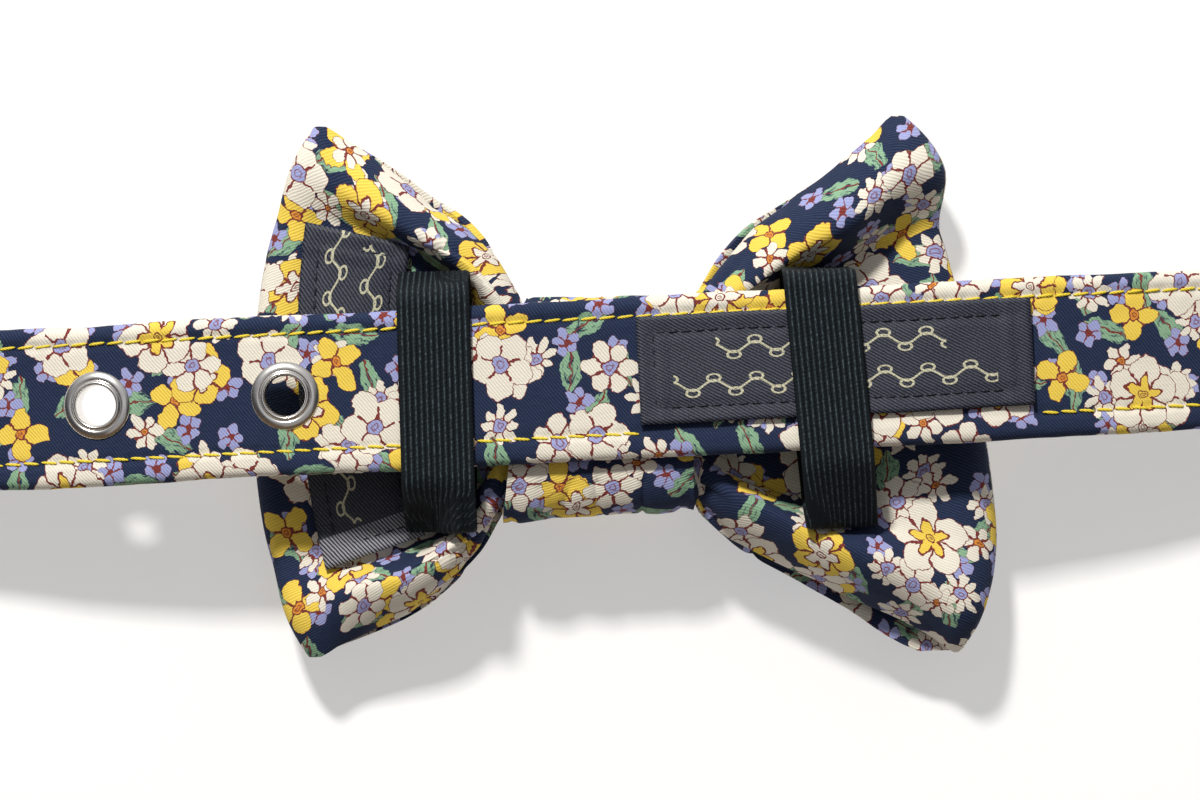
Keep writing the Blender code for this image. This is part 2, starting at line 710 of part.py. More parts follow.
def build():
    for old in list(bpy.data.objects):
        bpy.data.objects.remove(old)
    group = collection("bow_tie_collar")
    cutters = collection("cutters")
    cutters.hide_render = True
    strap_frame = frame_empty("strap_frame", group, location=(0, STRAP_RISE, 0))
    bow_frame = frame_empty("bow_frame", group, rotation=(0, 0, BOW_TURN))

    print_cotton = material("printed_cotton", (0.10, 0.12, 0.22), 0.85)
    bow_cotton = material("bow_printed_cotton", (0.11, 0.13, 0.24), 0.85)
    knot_cotton = material("knot_printed_cotton", (0.09, 0.11, 0.20), 0.85)
    steel = material("nickel_plated_steel", (0.72, 0.70, 0.67), 0.25, metallic=1.0)
    buckle_steel = material("buckle_steel", (0.70, 0.69, 0.67), 0.28, metallic=1.0)
    ribbed_elastic = material("black_elastic", (0.012, 0.022, 0.030), 0.75)
    woven_label = material("woven_label", (0.045, 0.05, 0.075), 0.7)

    build_strap(group, cutters, strap_frame, print_cotton)
    build_eyelets(group, strap_frame, steel)
    build_buckle(group, cutters, strap_frame, buckle_steel)
    build_strap_label(group, strap_frame, woven_label)
    build_bow(group, bow_frame, bow_cotton)
    build_knot(group, bow_frame, knot_cotton)
    build_bow_label(group, bow_frame, woven_label)
    build_elastics(group, bow_frame, ribbed_elastic)


build()
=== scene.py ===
"""The looks of a pet's bow tie collar, laid open with its bow face down.

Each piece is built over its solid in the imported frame. Metres, +Z up.
"""

import math
from collections import namedtuple

import bmesh
import bpy
from mathutils import Matrix, Vector, noise


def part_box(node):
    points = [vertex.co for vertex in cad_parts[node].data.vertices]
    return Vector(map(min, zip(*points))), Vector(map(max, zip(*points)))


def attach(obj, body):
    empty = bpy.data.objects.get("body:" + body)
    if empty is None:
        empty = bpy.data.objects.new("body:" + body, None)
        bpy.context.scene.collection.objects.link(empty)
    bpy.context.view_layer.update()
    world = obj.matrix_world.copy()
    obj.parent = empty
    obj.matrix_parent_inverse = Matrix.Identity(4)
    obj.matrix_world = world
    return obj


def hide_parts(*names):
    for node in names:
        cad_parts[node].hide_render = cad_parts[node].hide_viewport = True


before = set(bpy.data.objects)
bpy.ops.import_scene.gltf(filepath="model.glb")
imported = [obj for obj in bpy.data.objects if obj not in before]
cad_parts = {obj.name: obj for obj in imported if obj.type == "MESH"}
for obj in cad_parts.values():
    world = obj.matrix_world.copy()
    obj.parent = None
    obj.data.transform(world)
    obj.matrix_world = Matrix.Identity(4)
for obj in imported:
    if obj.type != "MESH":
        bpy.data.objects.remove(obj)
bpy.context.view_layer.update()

MM = 0.001

# Strap, whose width, level and tip's reach come from its solid
STRAP_LOW, STRAP_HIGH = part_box("strap")
STRAP_WIDTH = STRAP_HIGH.y - STRAP_LOW.y
STRAP_RISE = (STRAP_HIGH.y + STRAP_LOW.y) / 2
STRAP_THICKNESS = 0.0026
STRAP_LEVEL = STRAP_HIGH.z - STRAP_THICKNESS / 2
STRAP_FLAT_REACH = 0.050
TIP_REACH = -STRAP_LOW.x
TIP_LENGTH = 0.014
TIP_LANDING = 0.201
TIP_NARROWING = 0.58
END_ROUNDING = 0.0016
STATION_STEP = 0.000725
SECTION_FACES = 100
HEM_STITCH_TOP = 0.0098
HEM_STITCH_BOTTOM = -0.0088
HEM_PUFF = 0.00022
STITCH_GROOVE = 0.00042
STITCH_GROOVE_WIDTH = 0.00065
STITCH_PITCH = 4 * STATION_STEP
STITCH_LENGTH = 0.00275
STITCH_THICKNESS = 0.00056
STITCH_LEAN = 0.10
STITCH_EDGE_ROOM = 0.0016
CROSS_STITCH_INSET = 0.004
EDGE_WANDER = 0.00032
EDGE_WANDER_LENGTH = 0.023
CLOTH_RIPPLE = 0.00016

# Eyelets: their places come from their solids
EYELET_COUNT = 5
EYELET_HOLE = 0.0040
EYELET_TURN_STEPS = 48

# Buckle
BUCKLE_REACH = 0.222
BUCKLE_WIRE_RADIUS = 0.0015
BUCKLE_LENGTH = 0.019
BUCKLE_SIDE_ROOM = 0.0012
BUCKLE_CORNER_RADIUS = 0.003
BUCKLE_LANDING = 0.188
PRONG_RADIUS = 0.0012
PRONG_TIP_SHARE = 0.72
PRONG_ARCH = 0.0012
PRONG_COLLAR_RADIUS = 0.0022
PRONG_COLLAR_LENGTH = 0.0044
PRONG_COLLAR_FLATNESS = 0.18
PRONG_SLOT_WIDTH = 0.0062
PRONG_SLOT_DEPTH = 0.0075
FOLD_BACK_LENGTH = 0.036
FOLD_BACK_EASE = 0.013
SEAT_GAP = 0.0003
BUCKLE_BAR_LEVEL = STRAP_THICKNESS + SEAT_GAP + BUCKLE_WIRE_RADIUS

# Knot
KNOT_WIDTH = 0.0314
KNOT_HEIGHT = 0.035
KNOT_DEPTH = 0.023
KNOT_WALL = 0.002
KNOT_CORNER_RADIUS = 0.0065
KNOT_TOP_LEFT_DRAW = 0.0042
KNOT_LEFT_DROP = 0.0016
KNOT_WAVE = 0.0006
KNOT_PLEAT_DEPTH = 0.0006
KNOT_PLEAT_WIDTH = 0.09
KNOT_DENT = 0.0004
KNOT_CORNER_FACES = 14
KNOT_SIDE_FACES = 18
KNOT_ROWS = 48

# Bow
BOW_CLOTH = 0.0016
BOW_HALF_HEIGHT = 0.0425
BOW_TURN = math.radians(-2.2)
WING_RISE = 0.0025
WING_COLUMNS = 54
FOLD_COLUMNS = 10
PASS_SHARES = (0.055, 0.35, 0.65, 0.945)
BOW_ROWS = 124
GATHER_REACH = 0.75
GATHER_DEPTH = 0.0013
GATHER_SHARPNESS = 0.16
GATHERS_ACROSS = 4.2
DENT_DEPTH = 0.0009
DENT_SIZE = 15
PUCKER_DEPTH = 0.00025
PUCKER_SIZE = 4
RIM_ROUNDING = 0.0006
CLOTH_STARTS = (0.0, 163.0, 71.0, 305.0)

Edge = namedtuple("Edge", "along top bottom")
LEFT_EDGES = (
    Edge(0.10, 0.57, 0.56),
    Edge(0.25, 0.69, 0.69),
    Edge(0.45, 0.78, 0.81),
    Edge(0.70, 0.89, 0.91),
    Edge(1.00, 1.00, 1.00),
)
RIGHT_EDGES = (
    Edge(0.10, 0.55, 0.52),
    Edge(0.25, 0.66, 0.62),
    Edge(0.45, 0.74, 0.75),
    Edge(0.70, 0.84, 0.90),
    Edge(1.00, 1.01, 1.02),
)

# How far the back layer's edge stops short of the front layer's, in metres
LEFT_PEEKS = (
    Edge(0.00, 0.0000, 0.0000),
    Edge(0.12, 0.0012, 0.0002),
    Edge(0.35, 0.0017, 0.0004),
    Edge(0.60, 0.0010, 0.0008),
    Edge(1.00, 0.0000, 0.0000),
)
RIGHT_PEEKS = (
    Edge(0.00, 0.0004, 0.0000),
    Edge(0.12, 0.0014, 0.0004),
    Edge(0.35, 0.0008, 0.0012),
    Edge(0.75, 0.0000, 0.0026),
    Edge(1.00, 0.0000, 0.0006),
)

# Heights of a layer's valley, crest and edge, as shares of the knot's depth
Fold = namedtuple("Fold", "along valley crest edge crest_place foot")
LEFT_FOLDS = (
    Fold(0.00, 0.53, 0.80, 0.62, 0.70, 0.45),
    Fold(0.10, 0.49, 0.84, 0.60, 0.76, 0.28),
    Fold(0.25, 0.47, 0.86, 0.57, 0.80, 0.18),
    Fold(0.45, 0.50, 0.82, 0.54, 0.82, 0.13),
    Fold(0.70, 0.52, 0.75, 0.51, 0.82, 0.12),
    Fold(1.00, 0.48, 0.56, 0.47, 0.85, 0.22),
)
RIGHT_FOLDS = (
    Fold(0.00, 0.50, 0.80, 0.62, 0.62, 0.42),
    Fold(0.10, 0.43, 0.86, 0.60, 0.65, 0.30),
    Fold(0.25, 0.41, 0.89, 0.57, 0.69, 0.22),
    Fold(0.45, 0.44, 0.89, 0.54, 0.74, 0.19),
    Fold(0.70, 0.55, 0.88, 0.52, 0.76, 0.19),
    Fold(1.00, 0.55, 0.76, 0.49, 0.82, 0.26),
)
FrontFold = namedtuple("FrontFold", "along valley crest edge")
FRONT_FOLDS = (
    FrontFold(0.00, 0.33, 0.18, 0.44),
    FrontFold(0.10, 0.30, 0.12, 0.42),
    FrontFold(0.25, 0.26, 0.09, 0.38),
    FrontFold(0.45, 0.22, 0.09, 0.34),
    FrontFold(0.70, 0.20, 0.11, 0.34),
    FrontFold(1.00, 0.24, 0.22, 0.35),
)
FRONT_CREST_PLACE = 0.50
SEAT_SEARCH_ROUNDS = 40
STEEPEST_LIFT = 1.5
PEEK_START = 0.4
CORNER_START = 0.55
VALLEY_LEAN_END = 0.6

Wing = namedtuple(
    "Wing", "side top_reach bottom_reach belly edges folds peeks corner_lag valley_lean"
)
LEFT_WING = Wing(-1, 0.0434, 0.0453, 0.0080, LEFT_EDGES, LEFT_FOLDS, LEFT_PEEKS, 0.0, 0.0)
RIGHT_WING = Wing(
    1, 0.0484, 0.0574, 0.0044, RIGHT_EDGES, RIGHT_FOLDS, RIGHT_PEEKS, 0.0055, 0.24
)

WING_ROOT = KNOT_WIDTH / 2 + BOW_CLOTH / 2 + SEAT_GAP
PINCH_HALF_HEIGHT = KNOT_HEIGHT / 2 - KNOT_WALL - SEAT_GAP - BOW_CLOTH / 2
MOUTH_HALF_HEIGHT = 0.0182

# Elastic
ELASTIC_WIDTH = 0.0110
ELASTIC_THICKNESS = 0.0011
ELASTIC_SEAT_GAP = 0.0008
ELASTIC_EDGE_ROOM = 0.0024
ELASTIC_TURN = 0.0018
ELASTIC_TURN_FACES = 8
ELASTIC_TURN_SKIP = 4
ELASTIC_BACK_FACES = 44
ELASTIC_FACE_FACES = 26
ELASTIC_DROP_FACES = 6
ELASTIC_RIBS = 12
ELASTIC_GUIDES = 8
RIB_FACES = 6
RIB_HEIGHT = 0.00022
RIB_WANDER = 0.00008
Loop = namedtuple("Loop", "name middle lean top bottom labels_in_face labels_in_back")
LOOPS = (
    Loop("elastic_left", -0.0256, math.radians(1.0), 0.0216, -0.0205, 0, 1),
    Loop("elastic_right", 0.0369, math.radians(5.0), 0.0212, -0.0205, 1, 0),
)

# Labels
LABEL_THICKNESS = 0.0006
LABEL_WIDTH = 0.0172
LABEL_LENGTH = 0.0627
LABEL_STITCH_INSET = 0.0026
LABEL_STITCH_PITCH = 0.0021
LABEL_STITCH_SHARE = 0.8
LABEL_STITCH_THICKNESS = 0.0004
LABEL_STITCH_SINK = 0.00012
LABEL_HEM = 0.0048
LABEL_HEM_RISE = 0.00022
LABEL_GROOVE = 0.00022
LABEL_GROOVE_WIDTH = 0.0006
LABEL_RIPPLE = 0.00015
LABEL_WANDER = 0.0002
STRAP_LABEL_START = 0.0068
STRAP_LABEL_RISE = 0.0011
BOW_LABEL_GAP = 0.0005
BOW_LABEL_MIDDLE = -0.0394
BOW_LABEL_TOP = 0.0280
BOW_LABEL_BOTTOM = -0.0236
BOW_LABEL_TOP_SLANT = 0.0020
BOW_LABEL_BOTTOM_SLANT = 0.0027
BOW_LABEL_BEND = 0.0027
BOW_LABEL_LEAN = math.radians(3.4)
BOW_LABEL_STIFFNESS = 0.92
LABEL_STEP = 0.0008
LABEL_ROWS = 24

# Camera and light
PICTURE_TURN = math.radians(2.9)
PICTURE_SCALE = 6.3 / MM
PICTURE_MIDDLE = (0.000476, 0.000635)
CAMERA_HEIGHT = 0.75
SHARP_LEVEL = 0.026
PICTURE_WIDTH = 1200
SENSOR_WIDTH = 36.0
FLOOR_SIZE = 2.0
FLOOR_GLOW = 0.40
FLOOR_DROP = 0.00035
Lamp = namedtuple("Lamp", "name azimuth elevation distance size power tint")
LAMPS = (
    Lamp("key_light", 14, 47, 1.5, 0.14, 25.5, (1.0, 0.97, 0.92)),
    Lamp("fill_light", 200, 72, 1.4, 1.2, 1.2, (0.97, 0.98, 1.0)),
)


def ease(share):
    """A share from 0 to 1, with a level start and end."""
    share = min(1.0, max(0.0, share))
    return share * share * (3 - 2 * share)


def mix(low, high, share):
    return low + (high - low) * share


def hump(distance, width):
    """A bell of height 1 about a line."""
    return math.exp(-((distance / width) ** 2))


def ripple(x, y, seed):
    """Smooth noise from -1 to 1 over places given in units of its own grain."""
    return noise.noise(Vector((x, y, seed)))


def from_table(rows, along, column):
    """A column of a table at a station, on a smooth curve through its rows."""
    places = [row.along for row in rows]
    values = [getattr(row, column) for row in rows]
    last = len(rows) - 1
    i = 0
    while i < last - 1 and along > places[i + 1]:
        i += 1

    def slope(k):
        if k in (0, last):
            near = 1 if k == 0 else last - 1
            return (values[near] - values[k]) / (places[near] - places[k])
        return (values[k + 1] - values[k - 1]) / (places[k + 1] - places[k - 1])

    span = places[i + 1] - places[i]
    share = (along - places[i]) / span
    start = share * (1 - share) ** 2 * span * slope(i)
    end = share**2 * (share - 1) * span * slope(i + 1)
    return mix(values[i], values[i + 1], ease(share)) + start + end


def steps(start, end, step):
    """Evenly spaced values from start to end, about a step apart."""
    count = max(1, round(abs(end - start) / step))
    return [mix(start, end, i / count) for i in range(count + 1)]


class Wire:
    """A node's output, with the arithmetic that patterns are written in."""

    def __init__(self, bench, socket):
        self.bench = bench
        self.socket = socket

    def __add__(self, other):
        return self.bench.math("ADD", self, other)

    def __sub__(self, other):
        return self.bench.math("SUBTRACT", self, other)

    def __rsub__(self, other):
        return self.bench.math("SUBTRACT", other, self)

    def __mul__(self, other):
        return self.bench.math("MULTIPLY", self, other)

    def __truediv__(self, other):
        return self.bench.math("DIVIDE", self, other)

    def __lt__(self, other):
        return self.bench.math("LESS_THAN", self, other)

    def __gt__(self, other):
        return self.bench.math("GREATER_THAN", self, other)

    def __abs__(self):
        return self.bench.math("ABSOLUTE", self)

    __radd__ = __add__
    __rmul__ = __mul__


class Bench:
    """Adds nodes to one node tree."""

    def __init__(self, tree):
        self.tree = tree

    def node(self, kind, settings=None, inputs=None):
        made = self.tree.nodes.new(f"ShaderNode{kind}")
        for name, value in (settings or {}).items():
            setattr(made, name, value)
        for key, value in (inputs or {}).items():
            if isinstance(value, Wire):
                self.tree.links.new(value.socket, made.inputs[key])
            else:
                made.inputs[key].default_value = value
        return made

    def wire(self, kind, settings=None, inputs=None, output=0):
        return Wire(self, self.node(kind, settings, inputs).outputs[output])

    def math(self, operation, *values):
        return self.wire("Math", {"operation": operation}, dict(enumerate(values)))

    def shift(self, vector, offset):
        return self.wire("VectorMath", {"operation": "ADD"}, {0: vector, 1: offset})

    def stretch(self, vector, factor):
        return self.wire("VectorMath", {"operation": "SCALE"}, {0: vector, "Scale": factor})

    def split(self, vector):
        parts = self.node("SeparateXYZ", inputs={0: vector}).outputs
        return [Wire(self, part) for part in parts]

    def join(self, x, y, z):
        return self.wire("CombineXYZ", inputs={0: x, 1: y, 2: z})

    def blend(self, factor, low, high):
        """A colour between two others."""
        return self.wire("Mix", {"data_type": "RGBA"}, {0: factor, 6: low, 7: high}, output=2)

    def rise(self, value, start, end):
        """0 up to the start, 1 past the end, and smooth between them."""
        return self.wire(
            "MapRange",
            {"interpolation_type": "SMOOTHSTEP"},
            {"Value": value, "From Min": start, "From Max": end},
        )

    def grain(self, vector, scale, detail=2.0):
        """Smooth noise from 0 to 1."""
        return self.wire("TexNoise", None, {"Vector": vector, "Scale": scale, "Detail": detail})

    def chances(self, cell):
        """A random colour and a random value from 0 to 1 for a cell."""
        made = self.node("TexWhiteNoise", {"noise_dimensions": "3D"}, {"Vector": cell})
        return Wire(self, made.outputs["Color"]), Wire(self, made.outputs["Value"])

    def moved(self, vector, shift, turn, scale=1.0):
        """A place on the cloth, scaled, turned by degrees and shifted."""
        rotation = (0, 0, math.radians(turn))
        inputs = {"Vector": vector, "Location": (*shift, 0), "Rotation": rotation}
        return self.wire("Mapping", None, {**inputs, "Scale": (scale, scale, 1)})

    def bump(self, height, strength, depth):
        return self.wire("Bump", None, {"Height": height, "Strength": strength, "Distance": depth})

    def object_place(self):
        return self.wire("TexCoord", output="Object")

    def cloth_place(self):
        return self.wire("UVMap", {"uv_map": "cloth"})


def colour(red, green, blue):
    return (red, green, blue, 1.0)


NAVY = colour(0.009, 0.019, 0.056)
CREAM = colour(0.82, 0.77, 0.66)
YELLOW = colour(0.86, 0.62, 0.08)
LILAC = colour(0.33, 0.36, 0.64)
MINT = colour(0.25, 0.43, 0.27)
BROWN_RED = colour(0.20, 0.030, 0.020)
ORANGE = colour(0.72, 0.27, 0.03)

# Blooms of the print, from the lowest to the top one. Sizes are in millimetres of cloth, and
# a petal's middle, length and width are shares of its bloom's radius.
Bloom = namedtuple(
    "Bloom",
    "pitch turn keep play petals radius middle length width tint line line_reach "
    "heart heart_radius star",
)
BLOOMS = (
    Bloom(7.3, 11, 0.70, 0.25, 5, 2.25, 0.58, 0.44, 0.36, LILAC, 0.13, 0.60, BROWN_RED, 0.35, 0.0),
    Bloom(10.2, 48, 0.54, 0.30, 8, 3.2, 0.60, 0.42, 0.21, CREAM, 0.13, 0.60, LILAC, 1.0, 0.0),
    Bloom(13.4, 73, 0.52, 0.20, 4, 4.3, 0.58, 0.43, 0.34, YELLOW, 0.17, 0.66, ORANGE, 0.7, 0.0),
    Bloom(10.9, 29, 0.38, 0.25, 6, 3.0, 0.58, 0.44, 0.27, CREAM, 0.17, 0.90, ORANGE, 0.5, 0.0),
    Bloom(17.6, 20, 0.44, 0.20, 5, 4.9, 0.56, 0.46, 0.43, YELLOW, 0.18, 0.90, CREAM, 0.6, 0.55),
    Bloom(14.1, 61, 0.46, 0.22, 6, 4.2, 0.57, 0.45, 0.33, CREAM, 0.17, 0.85, LILAC, 1.1, 0.0),
    Bloom(18.4, 37, 0.46, 0.18, 5, 5.2, 0.54, 0.47, 0.42, CREAM, 0.18, 0.62, LILAC, 1.2, 0.0),
    Bloom(22.5, 5, 0.55, 0.25, 5, 5.9, 0.54, 0.47, 0.42, CREAM, 0.18, 0.80, YELLOW, 0.5, 0.50),
)
LEAF_PITCH = 8.2
LEAF_TURN = 57
LEAF_PLAY = 0.3
LEAF_KEEP = 0.70
LEAF_LENGTH = 4.3
LEAF_WIDTH = 1.7
LEAF_VEIN = 0.12
LAYER_SHIFT = (3.7, 1.9)
ROW_SHIFT = 0.37
WOBBLE_GRAIN = 0.55
HAND_WOBBLE = 1.9
PETAL_SPREAD = 0.26
PETAL_OUTLINE = 0.11
PETAL_LINE_END = 1.35
RAY_LENGTH = 0.52
RAY_WIDTH = 0.27
RAY_OUTLINE = 1.45
RAY_BODY = 0.85
HEART_OUTLINE = 0.22
HEART_RING = 0.7
HEART_RING_PLACE = 0.42
HEART_RING_WIDTH = 0.11


def scatter(bench, cloth, pitch, turn, play, seed):
    """A point's place from the motif of its cell, in millimetres, and two chances for the cell."""
    shift = (seed * LAYER_SHIFT[0], seed * LAYER_SHIFT[1])
    x, y, _ = bench.split(bench.moved(cloth, shift, turn, 1 / pitch))
    row = bench.math("FLOOR", y)
    x = x + row * ROW_SHIFT
    column = bench.math("FLOOR", x)
    jumps, chance = bench.chances(bench.join(column, row, seed))
    jump_x, jump_y, spin = bench.split(jumps)
    x = (x - column - 0.5 + (jump_x - 0.5) * play) * pitch
    y = (y - row - 0.5 + (jump_y - 0.5) * play) * pitch
    return x, y, spin, chance


def oval(along, aside, middle, length, width):
    """Under 1 inside an oval that lies along a petal's axis."""
    lengthwise = (along - middle) / length
    crosswise = aside / width
    return lengthwise * lengthwise + crosswise * crosswise


def add_bloom(bench, ground, cloth, bloom, seed):
    x, y, spin, chance = scatter(bench, cloth, bloom.pitch, bloom.turn, bloom.play, seed)
    reach = bench.math("SQRT", x * x + y * y)
    turns = bench.math("ARCTAN2", y, x) / (2 * math.pi) + spin
    sector = 2 * math.pi / bloom.petals
    number = bench.math("FLOORED_MODULO", bench.math("FLOOR", turns * bloom.petals), bloom.petals)
    _, growth = bench.chances(bench.join(number, chance, seed))
    fold = (bench.math("FRACT", turns * bloom.petals) - 0.5) * sector
    along = reach * bench.math("COSINE", fold) * (growth * PETAL_SPREAD + 1 - PETAL_SPREAD / 2)
    aside = abs(reach * bench.math("SINE", fold))
    between = reach * bench.math("SINE", sector / 2 - abs(fold))
    shown = chance < bloom.keep

    radius = bloom.radius
    petal = oval(along, aside, bloom.middle * radius, bloom.length * radius, bloom.width * radius)
    lines = (between < bloom.line) * (reach < bloom.line_reach * radius)
    coats = [
        ((petal < 1 + PETAL_OUTLINE) * shown, BROWN_RED),
        ((petal < 1) * shown, bloom.tint),
        (lines * shown * (petal < PETAL_LINE_END), BROWN_RED),
    ]
    if bloom.star:
        star = bloom.star * radius
        ray = oval(along, aside, RAY_LENGTH * star, RAY_LENGTH * star, RAY_WIDTH * star)
        coats.append(((ray < RAY_OUTLINE) * shown, BROWN_RED))
        coats.append(((ray < RAY_BODY) * shown, bloom.heart))
    from_ring = abs(reach - bloom.heart_radius * HEART_RING_PLACE)
    coats += [
        ((reach < bloom.heart_radius + HEART_OUTLINE) * shown, BROWN_RED),
        ((reach < bloom.heart_radius) * shown, bloom.heart),
        ((from_ring < HEART_RING_WIDTH) * shown * HEART_RING, BROWN_RED),
    ]
    for where, paint in coats:
        ground = bench.blend(where, ground, paint)
    return ground


def add_leaves(bench, ground, cloth):
    seed = len(BLOOMS) + 1
    x, y, spin, chance = scatter(bench, cloth, LEAF_PITCH, LEAF_TURN, LEAF_PLAY, seed)
    angle = spin * 2 * math.pi
    cosine, sine = bench.math("COSINE", angle), bench.math("SINE", angle)
    along = x * cosine + y * sine
    aside = abs(y * cosine - x * sine)
    taper = along / LEAF_LENGTH
    inside = aside < (1 - taper * taper) * LEAF_WIDTH
    shown = inside * (chance < LEAF_KEEP)
    strokes = bench.grain(bench.join(along * 0.5 + aside * 0.8, aside * 2.2, spin), 1.3)
    leaf = bench.blend(bench.rise(strokes, 0.34, 0.50), NAVY, MINT)
    leafy = bench.blend(shown, ground, leaf)
    return bench.blend(shown * (aside < LEAF_VEIN), leafy, BROWN_RED)


def make_print():
    """The ditsy floral print as a node group, from a place on the cloth in millimetres."""
    tree = bpy.data.node_groups.new("ditsy_print", "ShaderNodeTree")
    tree.interface.new_socket("Place", in_out="INPUT", socket_type="NodeSocketVector")
    tree.interface.new_socket("Colour", in_out="OUTPUT", socket_type="NodeSocketColor")
    bench = Bench(tree)
    place = Wire(bench, tree.nodes.new("NodeGroupInput").outputs[0])
    grain = {"Vector": place, "Scale": WOBBLE_GRAIN, "Detail": 3.0}
    wobble = bench.shift(bench.wire("TexNoise", None, grain, output="Color"), (-0.5, -0.5, -0.5))
    cloth = bench.shift(place, bench.stretch(wobble, HAND_WOBBLE))
    tint = add_leaves(bench, NAVY, cloth)
    for i, bloom in enumerate(BLOOMS):
        tint = add_bloom(bench, tint, cloth, bloom, i + 1)
    out = tree.nodes.new("NodeGroupOutput")
    tree.links.new(tint.socket, out.inputs[0])
    return tree


def new_material(name):
    """A material whose node tree is empty, and its bench."""
    made = bpy.data.materials.new(name)
    made.use_nodes = True
    made.node_tree.nodes.clear()
    return made, Bench(made.node_tree)


def shaded(made, bench, **inputs):
    """The material with its shader, whose sockets are named with _ for a space."""
    named = {key.replace("_", " "): value for key, value in inputs.items()}
    shader = bench.wire("BsdfPrincipled", None, named)
    bench.node("OutputMaterial", None, {"Surface": shader})
    return made


def stripes(bench, distance, pitch, wander):
    """A wave from 0 to 1 with a line in every pitch, pushed about by a wandering phase."""
    phase = distance * (2 * math.pi / pitch) + wander
    return bench.math("SINE", phase) * 0.5 + 0.5


# Pitches of the weaves in millimetres of cloth, and of the sewing thread's ply in metres
WEAVE_PITCH = 0.44
KNIT_PITCH = 0.62
RIBBON_PITCH = 0.46
PLY_PITCH = 0.00055

# Where on the bolt each cloth is cut, in millimetres and degrees, and how its weave leans
CottonCut = namedtuple("CottonCut", "name shift turn weave_lean")
COTTON_CUTS = (
    CottonCut("strap_cotton", (12.0, 31.0), 0, 52),
    CottonCut("bow_cotton", (210.0, 77.0), 32, 24),
    CottonCut("knot_cotton", (57.0, 163.0), 90, 70),
)


def printed_cotton(name, print_tree, shift, turn, weave_lean):
    """Twill cotton with the print, whose threads show as fine leaning lines, with a painted highlight
    on each thread's ridge and painted shade in the gaps between threads.
    """
    made, bench = new_material(name)
    cloth = bench.cloth_place()
    u, v, _ = bench.split(cloth)
    lean = math.radians(weave_lean)
    distance = u * math.sin(lean) + v * math.cos(lean)
    wander = bench.grain(cloth, 0.5) * 5
    ribs = stripes(bench, distance, WEAVE_PITCH, wander)
    slub = bench.grain(bench.join(u * 0.6, v * 2.6, 0.0), 1.0, 3.0)
    tint = bench.wire("Group", {"node_tree": print_tree}, {0: bench.moved(cloth, shift, turn)})
    # Painted highlight: the print is lightened towards pale blue along the thread ridges.
    thread_ridge_highlight = bench.blend(ribs * slub * 0.10, tint, colour(0.30, 0.36, 0.50))
    # Painted shade: the print is darkened towards black in the gaps between the thread ridges.
    weave_gap_shade = bench.blend((1 - ribs) * 0.20, thread_ridge_highlight, colour(0.0, 0.0, 0.01))
    bump = bench.bump(ribs * 0.7 + slub * 0.5, 0.55, 0.00012)
    return shaded(
        made, bench, Base_Color=weave_gap_shade, Roughness=0.86, Normal=bump, Specular_IOR_Level=0.2
    )


def thread(name, tint):
    """Twisted sewing thread, with painted shade in the grooves between its plies."""
    made, bench = new_material(name)
    x, y, _ = bench.split(bench.object_place())
    ply = stripes(bench, x + y * 1.6, PLY_PITCH, 0.0)
    # Painted shade: the thread's colour at 0.55 of its brightness, laid in the grooves between the
    # plies.
    ply_groove_shade = colour(*[value * 0.55 for value in tint[:3]])
    shade = bench.blend(ply, ply_groove_shade, tint)
    bump = bench.bump(ply, 0.5, 0.0001)
    return shaded(
        made, bench, Base_Color=shade, Roughness=0.55, Normal=bump, Specular_IOR_Level=0.4
    )


def ribbed_elastic():
    """Near-black braid, with painted highlights: pale lines, one to each rib, broken into glints by
    noise.
    """
    made, bench = new_material("ribbed_elastic")
    u, v, _ = bench.split(bench.cloth_place())
    pitch = ELASTIC_WIDTH / MM / ELASTIC_RIBS
    from_rib = abs(bench.math("FRACT", v / pitch + 100.0) - 0.5)
    line = bench.rise(from_rib, 0.11, 0.03)
    # Noise that breaks the painted highlight lines into glints; it also feeds the bump.
    glint_grain = bench.grain(bench.join(u * 1.0, v * 5.0, 0.0), 1.6, 4.0)
    flecks = bench.rise(glint_grain, 0.42, 0.66)
    knit = stripes(bench, u, KNIT_PITCH, v * 2.2)
    base = bench.blend(knit * 0.5, colour(0.002, 0.004, 0.007), colour(0.004, 0.010, 0.014))
    # Painted highlights: pale lines along the ribs, brightened in flecks as painted glints.
    tint = bench.blend(line * (flecks * 0.45 + 0.08), base, colour(0.11, 0.15, 0.17))
    bump = bench.bump(knit * 0.3 + glint_grain, 0.6, 0.00012)
    return shaded(
        made, bench, Base_Color=tint, Roughness=0.8, Normal=bump, Specular_IOR_Level=0.2
    )


VINE_PITCH = 3.4
VINE_SWING = 0.75
VINE_LINE = 0.20
VINE_ROWS = ((3.0, 12.5, 49.0), (-2.8, 5.5, 57.0))


